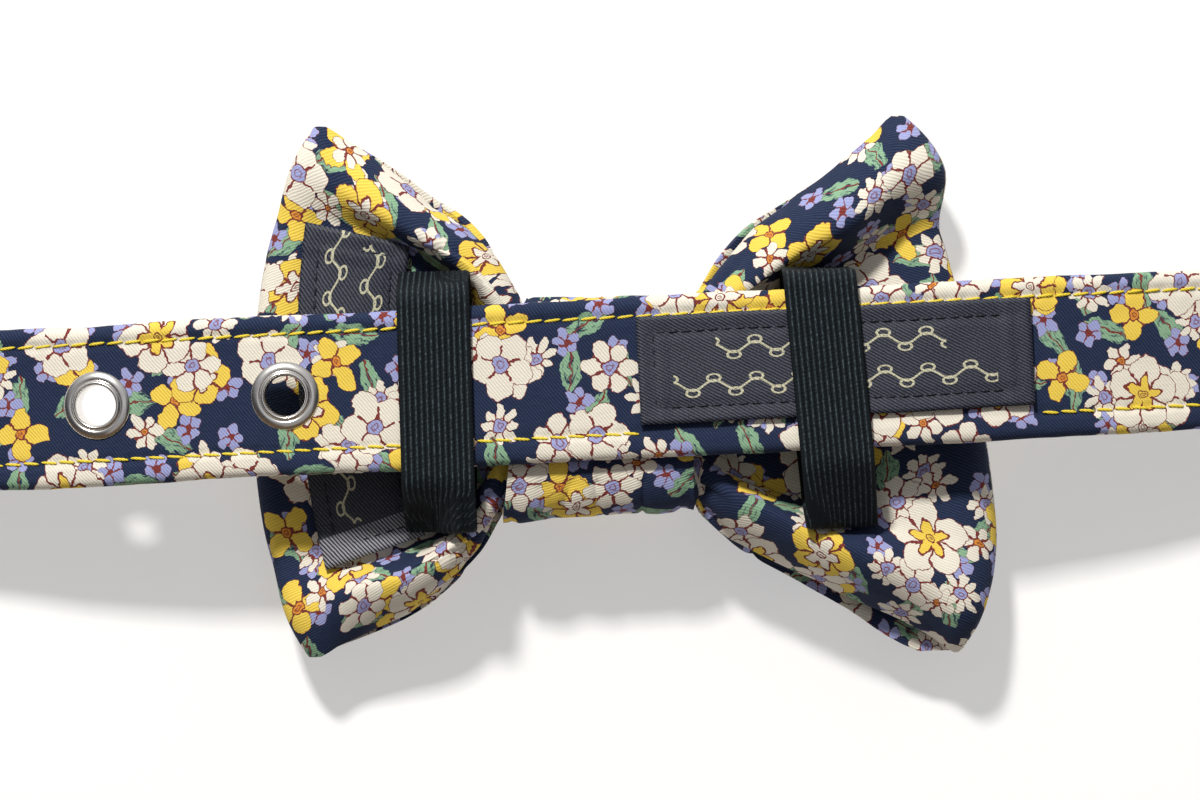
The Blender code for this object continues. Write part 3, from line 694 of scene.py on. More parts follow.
def woven_label(name, pale_reach):
    """Satin ribbon in dark navy with two rows of a small woven vine, and pale at a turned end."""
    made, bench = new_material(name)
    cloth = bench.cloth_place()
    u, v, _ = bench.split(cloth)
    twill = stripes(bench, u * 0.5 + v * 0.87, RIBBON_PITCH, bench.grain(cloth, 0.8) * 2.5)
    flecks = bench.grain(cloth, 4.4, 3.0)
    salt = bench.rise(flecks * 0.72 + twill * 0.28, 0.42, 0.68)
    tint = bench.blend(salt, colour(0.005, 0.007, 0.015), colour(0.062, 0.068, 0.100))
    reverse = bench.rise(twill, 0.25, 0.7) * (u < pale_reach)
    tint = bench.blend(reverse, tint, colour(0.30, 0.30, 0.34))
    cell = bench.math("FLOOR", u / VINE_PITCH)
    local = (u / VINE_PITCH - cell - 0.5) * VINE_PITCH
    side = bench.math("FLOORED_MODULO", cell, 2.0) * 2 - 1
    swing = bench.math("SINE", u * (math.pi / VINE_PITCH)) * VINE_SWING
    vine = None
    for middle, start, end in VINE_ROWS:
        off = v - middle
        stem = abs(off + swing) < VINE_LINE
        leaf = oval(local, abs(off - side * 1.15), 0.0, 1.25, 0.72)
        outline = (leaf < 1) * (leaf > 0.42)
        shown = bench.math("MAXIMUM", stem, outline) * (u > start) * (u < end)
        vine = shown if vine is None else bench.math("MAXIMUM", vine, shown)
    yarn = bench.rise(bench.grain(bench.join(u * 2.2, v * 2.2, 0.0), 1.7), 0.34, 0.50)
    tint = bench.blend(vine * (yarn * 0.55 + 0.30), tint, colour(0.62, 0.60, 0.42))
    bump = bench.bump(twill + vine * 0.8, 0.5, 0.0001)
    return shaded(
        made, bench, Base_Color=tint, Roughness=0.58, Normal=bump, Specular_IOR_Level=0.4
    )


def nickel(name, tone):
    """Bright nickel plate with fine handling marks."""
    made, bench = new_material(name)
    smears = bench.grain(bench.object_place(), 260.0, 4.0)
    tint = bench.blend(smears, colour(*[value * 0.86 for value in tone]), colour(*tone))
    return shaded(made, bench, Base_Color=tint, Metallic=1.0, Roughness=smears * 0.14 + 0.14)


def pale_floor():
    made, bench = new_material("pale_floor")
    tone = bench.grain(bench.object_place(), 3.0) * 0.02 + 0.58
    return shaded(
        made, bench, Base_Color=bench.join(tone, tone, tone), Roughness=0.9,
        Emission_Color=colour(1.0, 1.0, 1.0), Emission_Strength=FLOOR_GLOW,
    )


def new_object(name, bm, finish):
    mesh = bpy.data.meshes.new(name)
    bm.to_mesh(mesh)
    bm.free()
    mesh.shade_smooth()
    mesh.materials.append(finish)
    made = bpy.data.objects.new(name, mesh)
    bpy.context.scene.collection.objects.link(made)
    return made


def settle(piece, node=None):
    """Fastens a finished piece to the collar, in the place of its solid."""
    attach(piece, "root")
    if node:
        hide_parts(node)
    return piece


def add_wall(piece, thickness, offset=0.0):
    wall = piece.modifiers.new("wall", "SOLIDIFY")
    wall.thickness = thickness
    wall.offset = offset


def add_round_rim(piece, width):
    rim = piece.modifiers.new("round_rim", "BEVEL")
    rim.width = width
    rim.segments = 3
    rim.limit_method = "ANGLE"
    rim.angle_limit = math.radians(55)


Stretch = namedtuple("Stretch", "first measured_from start")


def placed_sheet(columns, rows, place, relief, lengthwise, stretches=(Stretch(0, 0, 0.0),)):
    """A sheet of quads put by place(column, -1 to 1 across) and then raised by relief.

    Its cloth map holds each point's true place on the cloth in millimetres. The columns run
    along the axis that lengthwise numbers, and a seam that closes a ring is merged. Each
    stretch of columns has its own lengths in the map, from the column where they start.
    """
    bm = bmesh.new()
    bmesh.ops.create_grid(bm, x_segments=columns, y_segments=rows, size=1.0)
    where = {}
    points = [[None] * (rows + 1) for _ in range(columns + 1)]
    for vertex in bm.verts:
        column = round((vertex.co.x + 1) / 2 * columns)
        row = round((vertex.co.y + 1) / 2 * rows)
        where[vertex.index] = (column, row)
        points[column][row] = Vector(place(column, row * 2 / rows - 1))
    crosswise = 1 - lengthwise

    def travel(a, b, axis):
        return math.hypot(b[axis] - a[axis], b.z - a.z) / MM

    def lengths_along(stretch, last):
        """Lengths in a stretch, and at the column before it, from its own starting column."""
        us = {}
        for row in range(rows + 1):
            us[stretch.measured_from, row] = stretch.start
            for way, end in ((1, last), (-1, max(0, stretch.first - 1))):
                for column in range(stretch.measured_from + way, end + way, way):
                    step = travel(points[column - way][row], points[column][row], lengthwise)
                    us[column, row] = us[column - way, row] + step
        return us

    ends = [stretch.first - 1 for stretch in stretches[1:]] + [columns]
    us_of = {}
    for stretch, last in zip(stretches, ends):
        us = lengths_along(stretch, last)
        us_of.update({column: us for column in range(stretch.first, last + 1)})

    vs = [[0.0] * (rows + 1) for _ in range(columns + 1)]
    for line, heights in zip(points, vs):
        for way, end in ((1, rows), (-1, 0)):
            for row in range(rows // 2, end, way):
                step = travel(line[row], line[row + way], crosswise)
                heights[row + way] = heights[row] + way * step

    layer = bm.loops.layers.uv.new("cloth")
    for face in bm.faces:
        corners = [where[loop.vert.index] for loop in face.loops]
        us = us_of[max(column for column, _ in corners)]
        for loop, (column, row) in zip(face.loops, corners):
            loop[layer].uv = (us[column, row], vs[column][row])
    rises = bm.verts.layers.float.new("rise")
    for vertex in bm.verts:
        column, row = where[vertex.index]
        vertex.co = points[column][row]
        u, v = us_of[column][column, row], vs[column][row]
        vertex[rises] = relief(column, row * 2 / rows - 1, u, v)
    bmesh.ops.remove_doubles(bm, verts=bm.verts, dist=SEAT_GAP / 100)
    bmesh.ops.recalc_face_normals(bm, faces=bm.faces)
    bm.normal_update()
    moves = [(vertex, vertex.normal * vertex[rises]) for vertex in bm.verts]
    for vertex, move in moves:
        vertex.co += move
    bm.verts.layers.float.remove(rises)
    return bm


def strap_level_at(x):
    """The strap's middle surface: level over the bow, and eased down to the floor each way."""
    landing = TIP_LANDING if x < 0 else BUCKLE_LANDING
    share = (abs(x) - STRAP_FLAT_REACH) / (landing - STRAP_FLAT_REACH)
    return mix(STRAP_LEVEL, STRAP_THICKNESS / 2, ease(share))


def strap_stations():
    """The strap's middle line from the tip, round the buckle's bar and back, with its normals."""
    turn_radius = BUCKLE_WIRE_RADIUS + SEAT_GAP + STRAP_THICKNESS / 2
    fold_level = STRAP_THICKNESS * 1.5 + SEAT_GAP
    path = [(x, strap_level_at(x)) for x in steps(-TIP_REACH, BUCKLE_REACH, STATION_STEP)]
    for degrees in range(-80, 91, 10):
        angle = math.radians(degrees)
        x = BUCKLE_REACH + turn_radius * math.cos(angle)
        path.append((x, BUCKLE_BAR_LEVEL + turn_radius * math.sin(angle)))
    top = BUCKLE_BAR_LEVEL + turn_radius
    for back in steps(0, FOLD_BACK_LENGTH, STATION_STEP)[1:]:
        path.append((BUCKLE_REACH - back, mix(top, fold_level, ease(back / FOLD_BACK_EASE))))
    stations = []
    for i, (x, z) in enumerate(path):
        before = path[max(0, i - 1)]
        after = path[min(len(path) - 1, i + 1)]
        run = Vector((after[0] - before[0], after[1] - before[1])).normalized()
        stations.append((Vector((x, STRAP_RISE, z)), Vector((-run.y, 0, run.x))))
    return stations


def end_scale(i, count):
    """How far the strap's section has closed near its two ends."""
    distance = min(i, count - 1 - i) * STATION_STEP
    share = min(1.0, distance / END_ROUNDING)
    return math.sqrt(max(0.04, 1 - (1 - share) ** 2))


def strap_half_width(x):
    """Half the strap's width, which narrows to a blunt tip."""
    share = max(0.0, (-x - (TIP_REACH - TIP_LENGTH)) / TIP_LENGTH)
    return STRAP_WIDTH / 2 * (1 - TIP_NARROWING * share**2)


def section_point(across, half_width):
    """A point of the strap's section: 0 is the middle of the top face, -1 and 1 of the bottom."""
    half = STRAP_THICKNESS / 2
    flat = half_width - half
    distance = abs(across) * (2 * flat + math.pi * half)
    side = 1 if across > 0 else -1
    if distance < flat:
        return side * distance, half
    if distance > flat + math.pi * half:
        return side * (2 * flat + math.pi * half - distance), -half
    angle = (distance - flat) / half
    return side * (flat + half * math.sin(angle)), half * math.cos(angle)


def beside_label(x):
    return STRAP_LABEL_START < x < STRAP_LABEL_START + LABEL_LENGTH


def hem_relief(i, y, x, top_face):
    """Hems puffed outside the stitch lines, and a groove that dips where a stitch goes in."""
    pull = 0.55 + 0.45 * math.cos(2 * math.pi * i * STATION_STEP / STITCH_PITCH)
    groove = hump(y - HEM_STITCH_TOP, STITCH_GROOVE_WIDTH)
    if not (top_face and beside_label(x)):
        groove += hump(y - HEM_STITCH_BOTTOM, STITCH_GROOVE_WIDTH)
    outside = ease((y - HEM_STITCH_TOP) / MM) + ease((HEM_STITCH_BOTTOM - y) / MM)
    return HEM_PUFF * outside - STITCH_GROOVE * groove * pull


def cut_through(bm, inside):
    """Takes away the faces whose middles are inside, and walls the hole between its two rims."""
    faces = [face for face in bm.faces if inside(face.calc_center_median())]
    bmesh.ops.delete(bm, geom=faces, context="FACES")
    rims = [edge for edge in bm.edges if edge.is_boundary]
    bmesh.ops.bridge_loops(bm, edges=rims)


def in_prong_slot(point):
    """Whether a point is in the slot through the fold round the buckle's bar."""
    beyond = point.x > BUCKLE_REACH - PRONG_SLOT_DEPTH
    return beyond and abs(point.y - STRAP_RISE) < PRONG_SLOT_WIDTH / 2


def eyelet_centre(i):
    low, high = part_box(f"eyelet_{i + 1}")
    return (low + high) / 2


def build_strap(finish):
    stations = strap_stations()
    last = len(stations) - 1

    def place(column, across):
        middle, normal = stations[column]
        scale = end_scale(column, last + 1)
        half_width = strap_half_width(middle.x) * mix(0.9, 1.0, scale)
        y, out = section_point(across, half_width)
        grain = (column * STATION_STEP / EDGE_WANDER_LENGTH, 0.3 * y / half_width)
        wander = EDGE_WANDER * ripple(*grain, 4.0)
        return middle + Vector((0, y + wander, 0)) + normal * out * scale

    def relief(column, across, u, v):
        x = stations[column][0].x
        y = section_point(across, strap_half_width(x))[0]
        swell = CLOTH_RIPPLE * (ripple(u / 7, v / 7, 1.5) + 0.4 * ripple(u / 2.5, v / 2.5, 7.5))
        return swell + hem_relief(column, y, x, abs(across) < 0.5)

    bm = placed_sheet(last, SECTION_FACES, place, relief, lengthwise=0)
    ends = [edge for edge in bm.edges if edge.is_boundary]
    bmesh.ops.holes_fill(bm, edges=ends, sides=0)
    for i in range(EYELET_COUNT):
        centre = eyelet_centre(i)
        cut_through(bm, lambda point: (point - centre).xy.length < EYELET_HOLE)
    cut_through(bm, in_prong_slot)
    bmesh.ops.recalc_face_normals(bm, faces=bm.faces)
    return settle(new_object("strap_cloth", bm, finish), "strap")


def add_stitch(bm, middle, run, up, length, thickness):
    """One stitch: a slim pip of thread that dips into the cloth at both ends."""
    aside = up.cross(run)
    turn = Matrix((run, aside, up)).transposed().to_4x4()
    size = Matrix.Diagonal((length / 2, thickness / 2, thickness / 2, 1))
    bmesh.ops.create_uvsphere(
        bm, u_segments=8, v_segments=5, radius=1.0,
        matrix=Matrix.Translation(middle) @ turn @ size @ Matrix.Rotation(math.pi / 2, 4, "Y"),
    )


def build_hem_stitches(finish):
    """Two lines of stitches on both faces of the strap, and a line across its folded end."""
    stations = strap_stations()
    bm = bmesh.new()
    per_stitch = round(STITCH_PITCH / STATION_STEP)
    half_pitch = per_stitch // 2
    lift = STRAP_THICKNESS / 2 - STITCH_GROOVE * 0.25
    sides = [(face, y) for face in (1, -1) for y in (HEM_STITCH_TOP, HEM_STITCH_BOTTOM)]
    for i in range(2 * per_stitch + half_pitch, len(stations) - half_pitch, per_stitch):
        middle, normal = stations[i]
        run = (stations[i + 1][0] - middle).normalized()
        folded = i > len(stations) - FOLD_BACK_LENGTH * 2 / STATION_STEP
        for face, y in sides:
            past_edge = abs(y) > strap_half_width(middle.x) - STITCH_EDGE_ROOM
            covered = face > 0 and (folded or (y < 0 and beside_label(middle.x)))
            if past_edge or covered:
                continue
            lean = STITCH_LEAN * face * (1 if y > 0 else -1)
            at = middle + Vector((0, y, 0)) + normal * lift * face
            along = (run + Vector((0, lean, 0))).normalized()
            add_stitch(bm, at, along, normal * face, STITCH_LENGTH, STITCH_THICKNESS)
    cross = stations[len(stations) - round(CROSS_STITCH_INSET / STATION_STEP)]
    for y in steps(HEM_STITCH_BOTTOM, HEM_STITCH_TOP, STITCH_PITCH):
        at = cross[0] + Vector((0, y, 0)) - cross[1] * STRAP_THICKNESS / 2
        add_stitch(bm, at, Vector((0, 1, 0)), -cross[1], STITCH_LENGTH, STITCH_THICKNESS)
    return settle(new_object("hem_stitches", bm, finish))


# Half of an eyelet's section: radius and height above the strap's middle, in millimetres
EYELET_SECTION = (
    (3.72, 0.0), (3.72, 1.16), (5.44, 1.16), (5.54, 1.30), (5.40, 1.56), (4.95, 1.86),
    (4.40, 2.00), (4.16, 1.96), (4.06, 1.84), (3.98, 1.98), (3.72, 2.26), (3.44, 2.28),
    (3.24, 2.02), (3.18, 1.10), (3.18, 0.0),
)


def build_eyelets(finish):
    """Turned rings with a domed flange and a raised roll round the hole, on both faces."""
    outline = list(EYELET_SECTION) + [(r, -z) for r, z in EYELET_SECTION[-2:0:-1]]
    for i in range(EYELET_COUNT):
        bm = bmesh.new()
        ring = [bm.verts.new((r * MM, 0, z * MM)) for r, z in outline]
        for k, vertex in enumerate(ring):
            bm.edges.new((vertex, ring[(k + 1) % len(ring)]))
        bmesh.ops.spin(
            bm, geom=bm.verts[:] + bm.edges[:], axis=(0, 0, 1), cent=(0, 0, 0),
            angle=2 * math.pi, steps=EYELET_TURN_STEPS, use_merge=True,
        )
        centre = eyelet_centre(i)
        slope = strap_level_at(centre.x + STATION_STEP) - strap_level_at(centre.x - STATION_STEP)
        tilt = Matrix.Rotation(-math.atan2(slope, 2 * STATION_STEP), 4, "Y")
        bm.transform(Matrix.Translation(centre) @ tilt)
        bmesh.ops.recalc_face_normals(bm, faces=bm.faces)
        eyelet = new_object(f"eyelet_ring_{i + 1}", bm, finish)
        smooth = eyelet.modifiers.new("smooth", "SUBSURF")
        smooth.levels = smooth.render_levels = 1
        settle(eyelet, f"eyelet_{i + 1}")


def rounded_rectangle(half_a, half_b, radius, arc_faces, side_faces=1):
    """The outline of a rectangle with round corners, centred on the origin."""
    corners = []
    for corner, (side_a, side_b) in enumerate(((1, 1), (-1, 1), (-1, -1), (1, -1))):
        arc = []
        for i in range(arc_faces + 1):
            angle = math.radians(90) * (corner + i / arc_faces)
            arc.append(
                Vector((
                    side_a * (half_a - radius) + radius * math.cos(angle),
                    side_b * (half_b - radius) + radius * math.sin(angle),
                ))
            )
        corners.append(arc)
    points = []
    for arc, following in zip(corners, corners[1:] + corners[:1]):
        points += arc
        points += [arc[-1].lerp(following[0], i / side_faces) for i in range(1, side_faces)]
    return points


def wire_curve(name, points, radius, closed, finish):
    """A round wire along points, whose fourth number is a share of the radius."""
    curve = bpy.data.curves.new(name, "CURVE")
    curve.dimensions = "3D"
    curve.bevel_depth = radius
    curve.bevel_resolution = 5
    curve.use_fill_caps = not closed
    spline = curve.splines.new("POLY")
    spline.points.add(len(points) - 1)
    for point, (x, y, z, share) in zip(spline.points, points):
        point.co = (x, y, z, 1)
        point.radius = share
    spline.use_cyclic_u = closed
    curve.materials.append(finish)
    made = bpy.data.objects.new(name, curve)
    bpy.context.scene.collection.objects.link(made)
    return made


def build_buckle(finish):
    """A plain wire frame and a prong whose loop is closed round the bar."""
    tilt = math.asin((BUCKLE_BAR_LEVEL - BUCKLE_WIRE_RADIUS) / BUCKLE_LENGTH)
    seat = Matrix.Translation((BUCKLE_REACH, STRAP_RISE, BUCKLE_BAR_LEVEL))
    seat = seat @ Matrix.Rotation(tilt, 4, "Y")
    half_width = STRAP_WIDTH / 2 + BUCKLE_SIDE_ROOM + BUCKLE_WIRE_RADIUS
    outline = rounded_rectangle(BUCKLE_LENGTH / 2, half_width, BUCKLE_CORNER_RADIUS, 10)
    bar = [seat @ Vector((p.x + BUCKLE_LENGTH / 2, p.y, 0)) for p in outline]
    wire = wire_curve("buckle_wire", [(*p, 1) for p in bar], BUCKLE_WIRE_RADIUS, True, finish)
    settle(wire, "buckle")

    prong = []
    for share in steps(0, 1, 0.08):
        place = seat @ Vector((share * BUCKLE_LENGTH, 0, PRONG_ARCH * math.sin(math.pi * share)))
        prong.append((*place, mix(1.0, PRONG_TIP_SHARE, share)))
    rod = wire_curve("buckle_prong", prong, PRONG_RADIUS, False, finish)
    settle(rod, "buckle")

    flatten = Matrix.Scale(PRONG_COLLAR_FLATNESS, 4, (1, 0, 0))
    bm = bmesh.new()
    bmesh.ops.create_circle(
        bm, cap_ends=False, segments=10, radius=PRONG_COLLAR_LENGTH / 2,
        matrix=Matrix.Translation((PRONG_COLLAR_RADIUS, 0, 0)) @ flatten,
    )
    bmesh.ops.spin(
        bm, geom=bm.verts[:] + bm.edges[:], axis=(0, 1, 0), cent=(0, 0, 0),
        angle=2 * math.pi, steps=32, use_merge=True,
    )
    bm.transform(seat)
    bmesh.ops.recalc_face_normals(bm, faces=bm.faces)
    settle(new_object("prong_loop", bm, finish), "buckle")


def knot_draw(y):
    """How far the knot's left side is drawn in at a height, most at its top."""
    return KNOT_TOP_LEFT_DRAW * (y / KNOT_HEIGHT + 0.5)


def turned_to_bow(point):
    """A point of the bow's own frame in the collar's frame."""
    return Matrix.Rotation(BOW_TURN, 3, "Z") @ Vector(point)


def build_knot(finish):
    outline = rounded_rectangle(
        KNOT_HEIGHT / 2, KNOT_DEPTH / 2, KNOT_CORNER_RADIUS, KNOT_CORNER_FACES, KNOT_SIDE_FACES
    )
    inset = BOW_CLOTH / 4

    def place(column, across):
        y, z = outline[column % len(outline)]
        to_left = (1 - across) / 2
        x = across * (KNOT_WIDTH / 2 - inset) + to_left * knot_draw(y)
        drop = KNOT_LEFT_DROP * to_left * (0.5 - y / KNOT_HEIGHT)
        wave = KNOT_WAVE * ripple(across * 1.6, z * 60, 5.0)
        return turned_to_bow((x, y - drop + wave * (1 if y < 0 else 0), z + KNOT_DEPTH / 2))

    def relief(column, across, u, v):
        y, z = outline[column % len(outline)]
        pleat = hump(ripple(across * 2.2, u / 40, 9.0), KNOT_PLEAT_WIDTH)
        flat_seat = 0.15 if abs(y) < KNOT_HEIGHT / 3 else 1.0
        sunk = KNOT_PLEAT_DEPTH * pleat + KNOT_DENT * (0.5 + 0.5 * ripple(u / 9, v / 6, 2.0))
        return -sunk * flat_seat

    bm = placed_sheet(len(outline), KNOT_ROWS, place, relief, lengthwise=1)
    knot = new_object("knot_cloth", bm, finish)
    add_wall(knot, KNOT_WALL, offset=-1.0)
    add_round_rim(knot, RIM_ROUNDING)
    return settle(knot, "knot")


def edge_height(wing, along, column):
    """The height of a wing's top or bottom edge from the wing's middle line."""
    mouth = MOUTH_HALF_HEIGHT / BOW_HALF_HEIGHT
    rows = (Edge(0.0, mouth, mouth),) + wing.edges
    return BOW_HALF_HEIGHT * from_table(rows, along, column)


def fold_heights(folds, along):
    """The heights of a layer's valley, crest and edge."""
    return [KNOT_DEPTH * from_table(folds, along, part) for part in ("valley", "crest", "edge")]


def ease_from(start, value):
    """0 up to the start, and eased to 1 from there."""
    return ease((value - start) / (1 - start))


def wing_span(wing, across):
    """Where a line of a wing's cloth leaves the knot, and how far it runs to the wing's end."""
    root = WING_ROOT
    if wing.side < 0:
        root -= knot_draw(across * PINCH_HALF_HEIGHT)
    end = mix(wing.bottom_reach, wing.top_reach, (across + 1) / 2) + wing.belly * (1 - across**2)
    return root, end - root


def back_level(wing, along, across):
    """The back layer's height: a valley between two rolls that run from knot to corners."""
    off = abs(across)
    crest_place = from_table(wing.folds, along, "crest_place")
    valley, crest, edge = fold_heights(wing.folds, along)
    valley -= KNOT_DEPTH * wing.valley_lean * across * ease(along / VALLEY_LEAN_END)
    if off < crest_place:
        foot = from_table(wing.folds, along, "foot")
        return mix(valley, crest, ease(1 - (crest_place - off) / foot))
    return mix(crest, edge, ((off - crest_place) / (1 - crest_place)) ** 2)


def front_level(wing, along, across):
    """The front layer's height: two puffs with a shallow valley between them."""
    off = abs(across)
    valley, crest, edge = fold_heights(FRONT_FOLDS, along)
    if off < FRONT_CREST_PLACE:
        return mix(valley, crest, ease(off / FRONT_CREST_PLACE))
    return mix(crest, edge, ease_from(FRONT_CREST_PLACE, off))


def wing_point(wing, along, across, level):
    """A point of a layer's middle surface, from the knot outwards and from -1 to 1 across."""
    column = "top" if across > 0 else "bottom"
    root, run = wing_span(wing, across)
    height = edge_height(wing, along, column)
    x = root + along * run
    if level is back_level:
        height -= from_table(wing.peeks, along, column) * ease_from(PEEK_START, abs(across))
    elif across < 0:
        x -= wing.corner_lag * ease_from(CORNER_START, along) * ease_from(CORNER_START, -across)
    y = WING_RISE * ease(along) + across * height
    return Vector((wing.side * x, y, level(wing, along, across)))


def fold_point(wing, angle, across):
    """A point of the fold at a wing's end, where the back layer turns into the front one."""
    back = wing_point(wing, 1.0, across, back_level)
    front = wing_point(wing, 1.0, across, front_level)
    radius = (back.z - front.z) / 2
    base = front.lerp(back, (1 + math.sin(angle)) / 2)
    return Vector((base.x + wing.side * radius * math.cos(angle), base.y, base.z))


def back_height_at(x, y):
    """The back layer's height over a point of the plan, found by stepping to it."""
    wing = LEFT_WING if x < 0 else RIGHT_WING
    along = across = 0.0
    for _ in range(SEAT_SEARCH_ROUNDS):
        root, run = wing_span(wing, across)
        along = min(1.0, max(0.0, (abs(x) - root) / run))
        rise = WING_RISE * ease(along)
        column = "top" if y > rise else "bottom"
        across = min(1.0, max(-1.0, (y - rise) / edge_height(wing, along, column)))
    return back_level(wing, along, across)


def seat_on_back(x, y, lift):
    """A point straight above the back layer, higher on its slopes to keep clear of the cloth."""
    level = back_height_at(x, y)
    run = (back_height_at(x + SEAT_GAP, y) - level) / SEAT_GAP
    climb = (back_height_at(x, y + SEAT_GAP) - level) / SEAT_GAP
    return Vector((x, y, level + lift * min(STEEPEST_LIFT, math.hypot(run, climb, 1))))


def gathers(side, along, across, seed):
    """How far the cloth sinks in the sharp gathers that run out from the knot."""
    fade = 1 - ease(along / GATHER_REACH)
    bend = ripple(side * 7 + across * 1.5, along * 2.2, 3.0 + seed)
    wave = ripple(across * GATHERS_ACROSS + bend * 0.7, along * 0.8, side * 11 + seed)
    sharp = max(0.0, 1 - abs(wave) / GATHER_SHARPNESS)
    return GATHER_DEPTH * fade * sharp**1.4


def hollows(u, v, size, depth, seed):
    """Soft hollows in the cloth, of a size in millimetres."""
    return depth * (0.5 + 0.5 * ripple(u / size, v / size, seed))


Column = namedtuple("Column", "place side along front")


def bow_columns():
    """The bow's cloth as one ring of columns, out along each wing's back and home on its front."""

    def layer(wing, along, level):
        def place(across):
            return wing_point(wing, along, across, level)

        return Column(place, wing.side, along, level is front_level)

    def fold(wing, angle):
        return Column(lambda across: fold_point(wing, angle, across), wing.side, 1.0, angle < 0)

    def out_and_home(wing):
        alongs = [(i / WING_COLUMNS) ** 1.15 for i in range(WING_COLUMNS + 1)]
        out = [layer(wing, along, back_level) for along in alongs]
        angles = [math.pi * (0.5 - i / FOLD_COLUMNS) for i in range(1, FOLD_COLUMNS)]
        home = [layer(wing, along, front_level) for along in alongs[::-1]]
        return out + [fold(wing, angle) for angle in angles] + home

    def passing(start, end, share):
        """A column inside the knot, between two layers' roots."""
        pinch = PINCH_HALF_HEIGHT / MOUTH_HALF_HEIGHT

        def place(across):
            return start.place(across * pinch).lerp(end.place(across * pinch), share)

        return Column(place, start.side, 0.0, start.front)

    right, left = out_and_home(RIGHT_WING), out_and_home(LEFT_WING)[::-1]
    front_pass = [passing(right[-1], left[0], share) for share in PASS_SHARES]
    back_pass = [passing(left[-1], right[0], share) for share in PASS_SHARES]
    left_start = len(right) + len(front_pass)
    columns = right + front_pass + left + back_pass
    to_fold = len(right) // 2
    stretches = (
        Stretch(0, 0, CLOTH_STARTS[0]),
        Stretch(to_fold, len(right) - 1, CLOTH_STARTS[1]),
        Stretch(left_start, left_start, CLOTH_STARTS[2]),
        Stretch(left_start + to_fold, left_start + len(left) - 1, CLOTH_STARTS[3]),
    )
    return columns, stretches


def build_bow(finish):
    columns, stretches = bow_columns()

    def place(column, across):
        return turned_to_bow(columns[column % len(columns)].place(across))

    def relief(column, across, u, v):
        at = columns[column % len(columns)]
        seed = 40.0 if at.front else 20.0
        dents = hollows(u, v, DENT_SIZE, DENT_DEPTH, seed)
        puckers = hollows(u, v, PUCKER_SIZE, PUCKER_DEPTH, seed + 5)
        calm = ease(at.along * 5) * ease((1 - at.along) * 9)
        return -gathers(at.side, at.along, across, seed) - (dents + puckers) * calm

    bm = placed_sheet(len(columns), BOW_ROWS, place, relief, lengthwise=0, stretches=stretches)
    bow = new_object("bow_cloth", bm, finish)
    add_wall(bow, BOW_CLOTH)
    add_round_rim(bow, RIM_ROUNDING)
    return settle(bow, "bow")


def strap_middle_at(x):
    """The height of the strap's middle line in the turned bow's frame."""
    return (STRAP_RISE - x * math.sin(BOW_TURN)) / math.cos(BOW_TURN)


def round_turn(before, corner, after):
    """Points of a smooth turn at a corner of an elastic's path."""
    start = corner + (before - corner).normalized() * ELASTIC_TURN
    end = corner + (after - corner).normalized() * ELASTIC_TURN
    shares = [i / ELASTIC_TURN_FACES for i in range(ELASTIC_TURN_FACES + 1)]
    return [start.lerp(corner, share).lerp(corner.lerp(end, share), share) for share in shares]


def run_between(start, end, faces):
    return [start.lerp(end, i / faces) for i in range(1, faces)]


def elastic_path(loop, across):
    """One edge-parallel line round a loop: over the strap's face and home along the bow's back."""
    label_room = LABEL_THICKNESS + SEAT_GAP
    face_level = STRAP_LEVEL + STRAP_THICKNESS / 2 + SEAT_GAP + ELASTIC_THICKNESS / 2
    face_level += loop.labels_in_face * label_room
    back_lift = BOW_CLOTH / 2 + ELASTIC_SEAT_GAP + ELASTIC_THICKNESS / 2
    back_lift += loop.labels_in_back * label_room
    half_face = STRAP_WIDTH / 2 + ELASTIC_EDGE_ROOM

    def place_at(y):
        return loop.middle + across * ELASTIC_WIDTH / 2 - (y - STRAP_RISE) * math.tan(loop.lean)

    def face_corner(side):
        y = strap_middle_at(place_at(STRAP_RISE)) + side * half_face
        return Vector((place_at(y), y, face_level))

    top, bottom = face_corner(1), face_corner(-1)
    back_step = (loop.top - loop.bottom) / ELASTIC_BACK_FACES
    back = [
        seat_on_back(place_at(y), y, back_lift)
        for y in steps(loop.bottom, loop.top, back_step)
    ]
    skip = ELASTIC_TURN_SKIP
    top_turn = round_turn(back[-1], top, bottom)
    bottom_turn = round_turn(top, bottom, back[0])
    foot_turn = round_turn(bottom, back[0], back[skip])
    head_turn = round_turn(back[-1 - skip], back[-1], top)
    return (
        top_turn
        + run_between(top_turn[-1], bottom_turn[0], ELASTIC_FACE_FACES)
        + bottom_turn
        + run_between(bottom_turn[-1], foot_turn[0], ELASTIC_DROP_FACES)
        + foot_turn
        + back[skip:-skip]
        + head_turn
        + run_between(head_turn[-1], top_turn[0], ELASTIC_DROP_FACES)
    )


def build_elastics(finish):
    rows = ELASTIC_RIBS * RIB_FACES
    for loop in LOOPS:
        guides = [elastic_path(loop, 2 * i / ELASTIC_GUIDES - 1) for i in range(ELASTIC_GUIDES + 1)]
        length = len(guides[0])

        def place(column, across):
            at = (across + 1) / 2 * ELASTIC_GUIDES
            i = min(ELASTIC_GUIDES - 1, int(at))
            near, far = guides[i][column % length], guides[i + 1][column % length]
            return turned_to_bow(near.lerp(far, at - i))

        def relief(column, across, u, v):
            rib = abs(math.sin(math.pi * (across + 1) / 2 * ELASTIC_RIBS))
            return RIB_HEIGHT * (rib**0.7 - 0.8) + RIB_WANDER * ripple(u / 3, v / 3, 6.0)

        bm = placed_sheet(length, rows, place, relief, lengthwise=1)
        elastic = new_object(f"{loop.name}_braid", bm, finish)
        add_wall(elastic, ELASTIC_THICKNESS * 0.9)
        settle(elastic, loop.name)


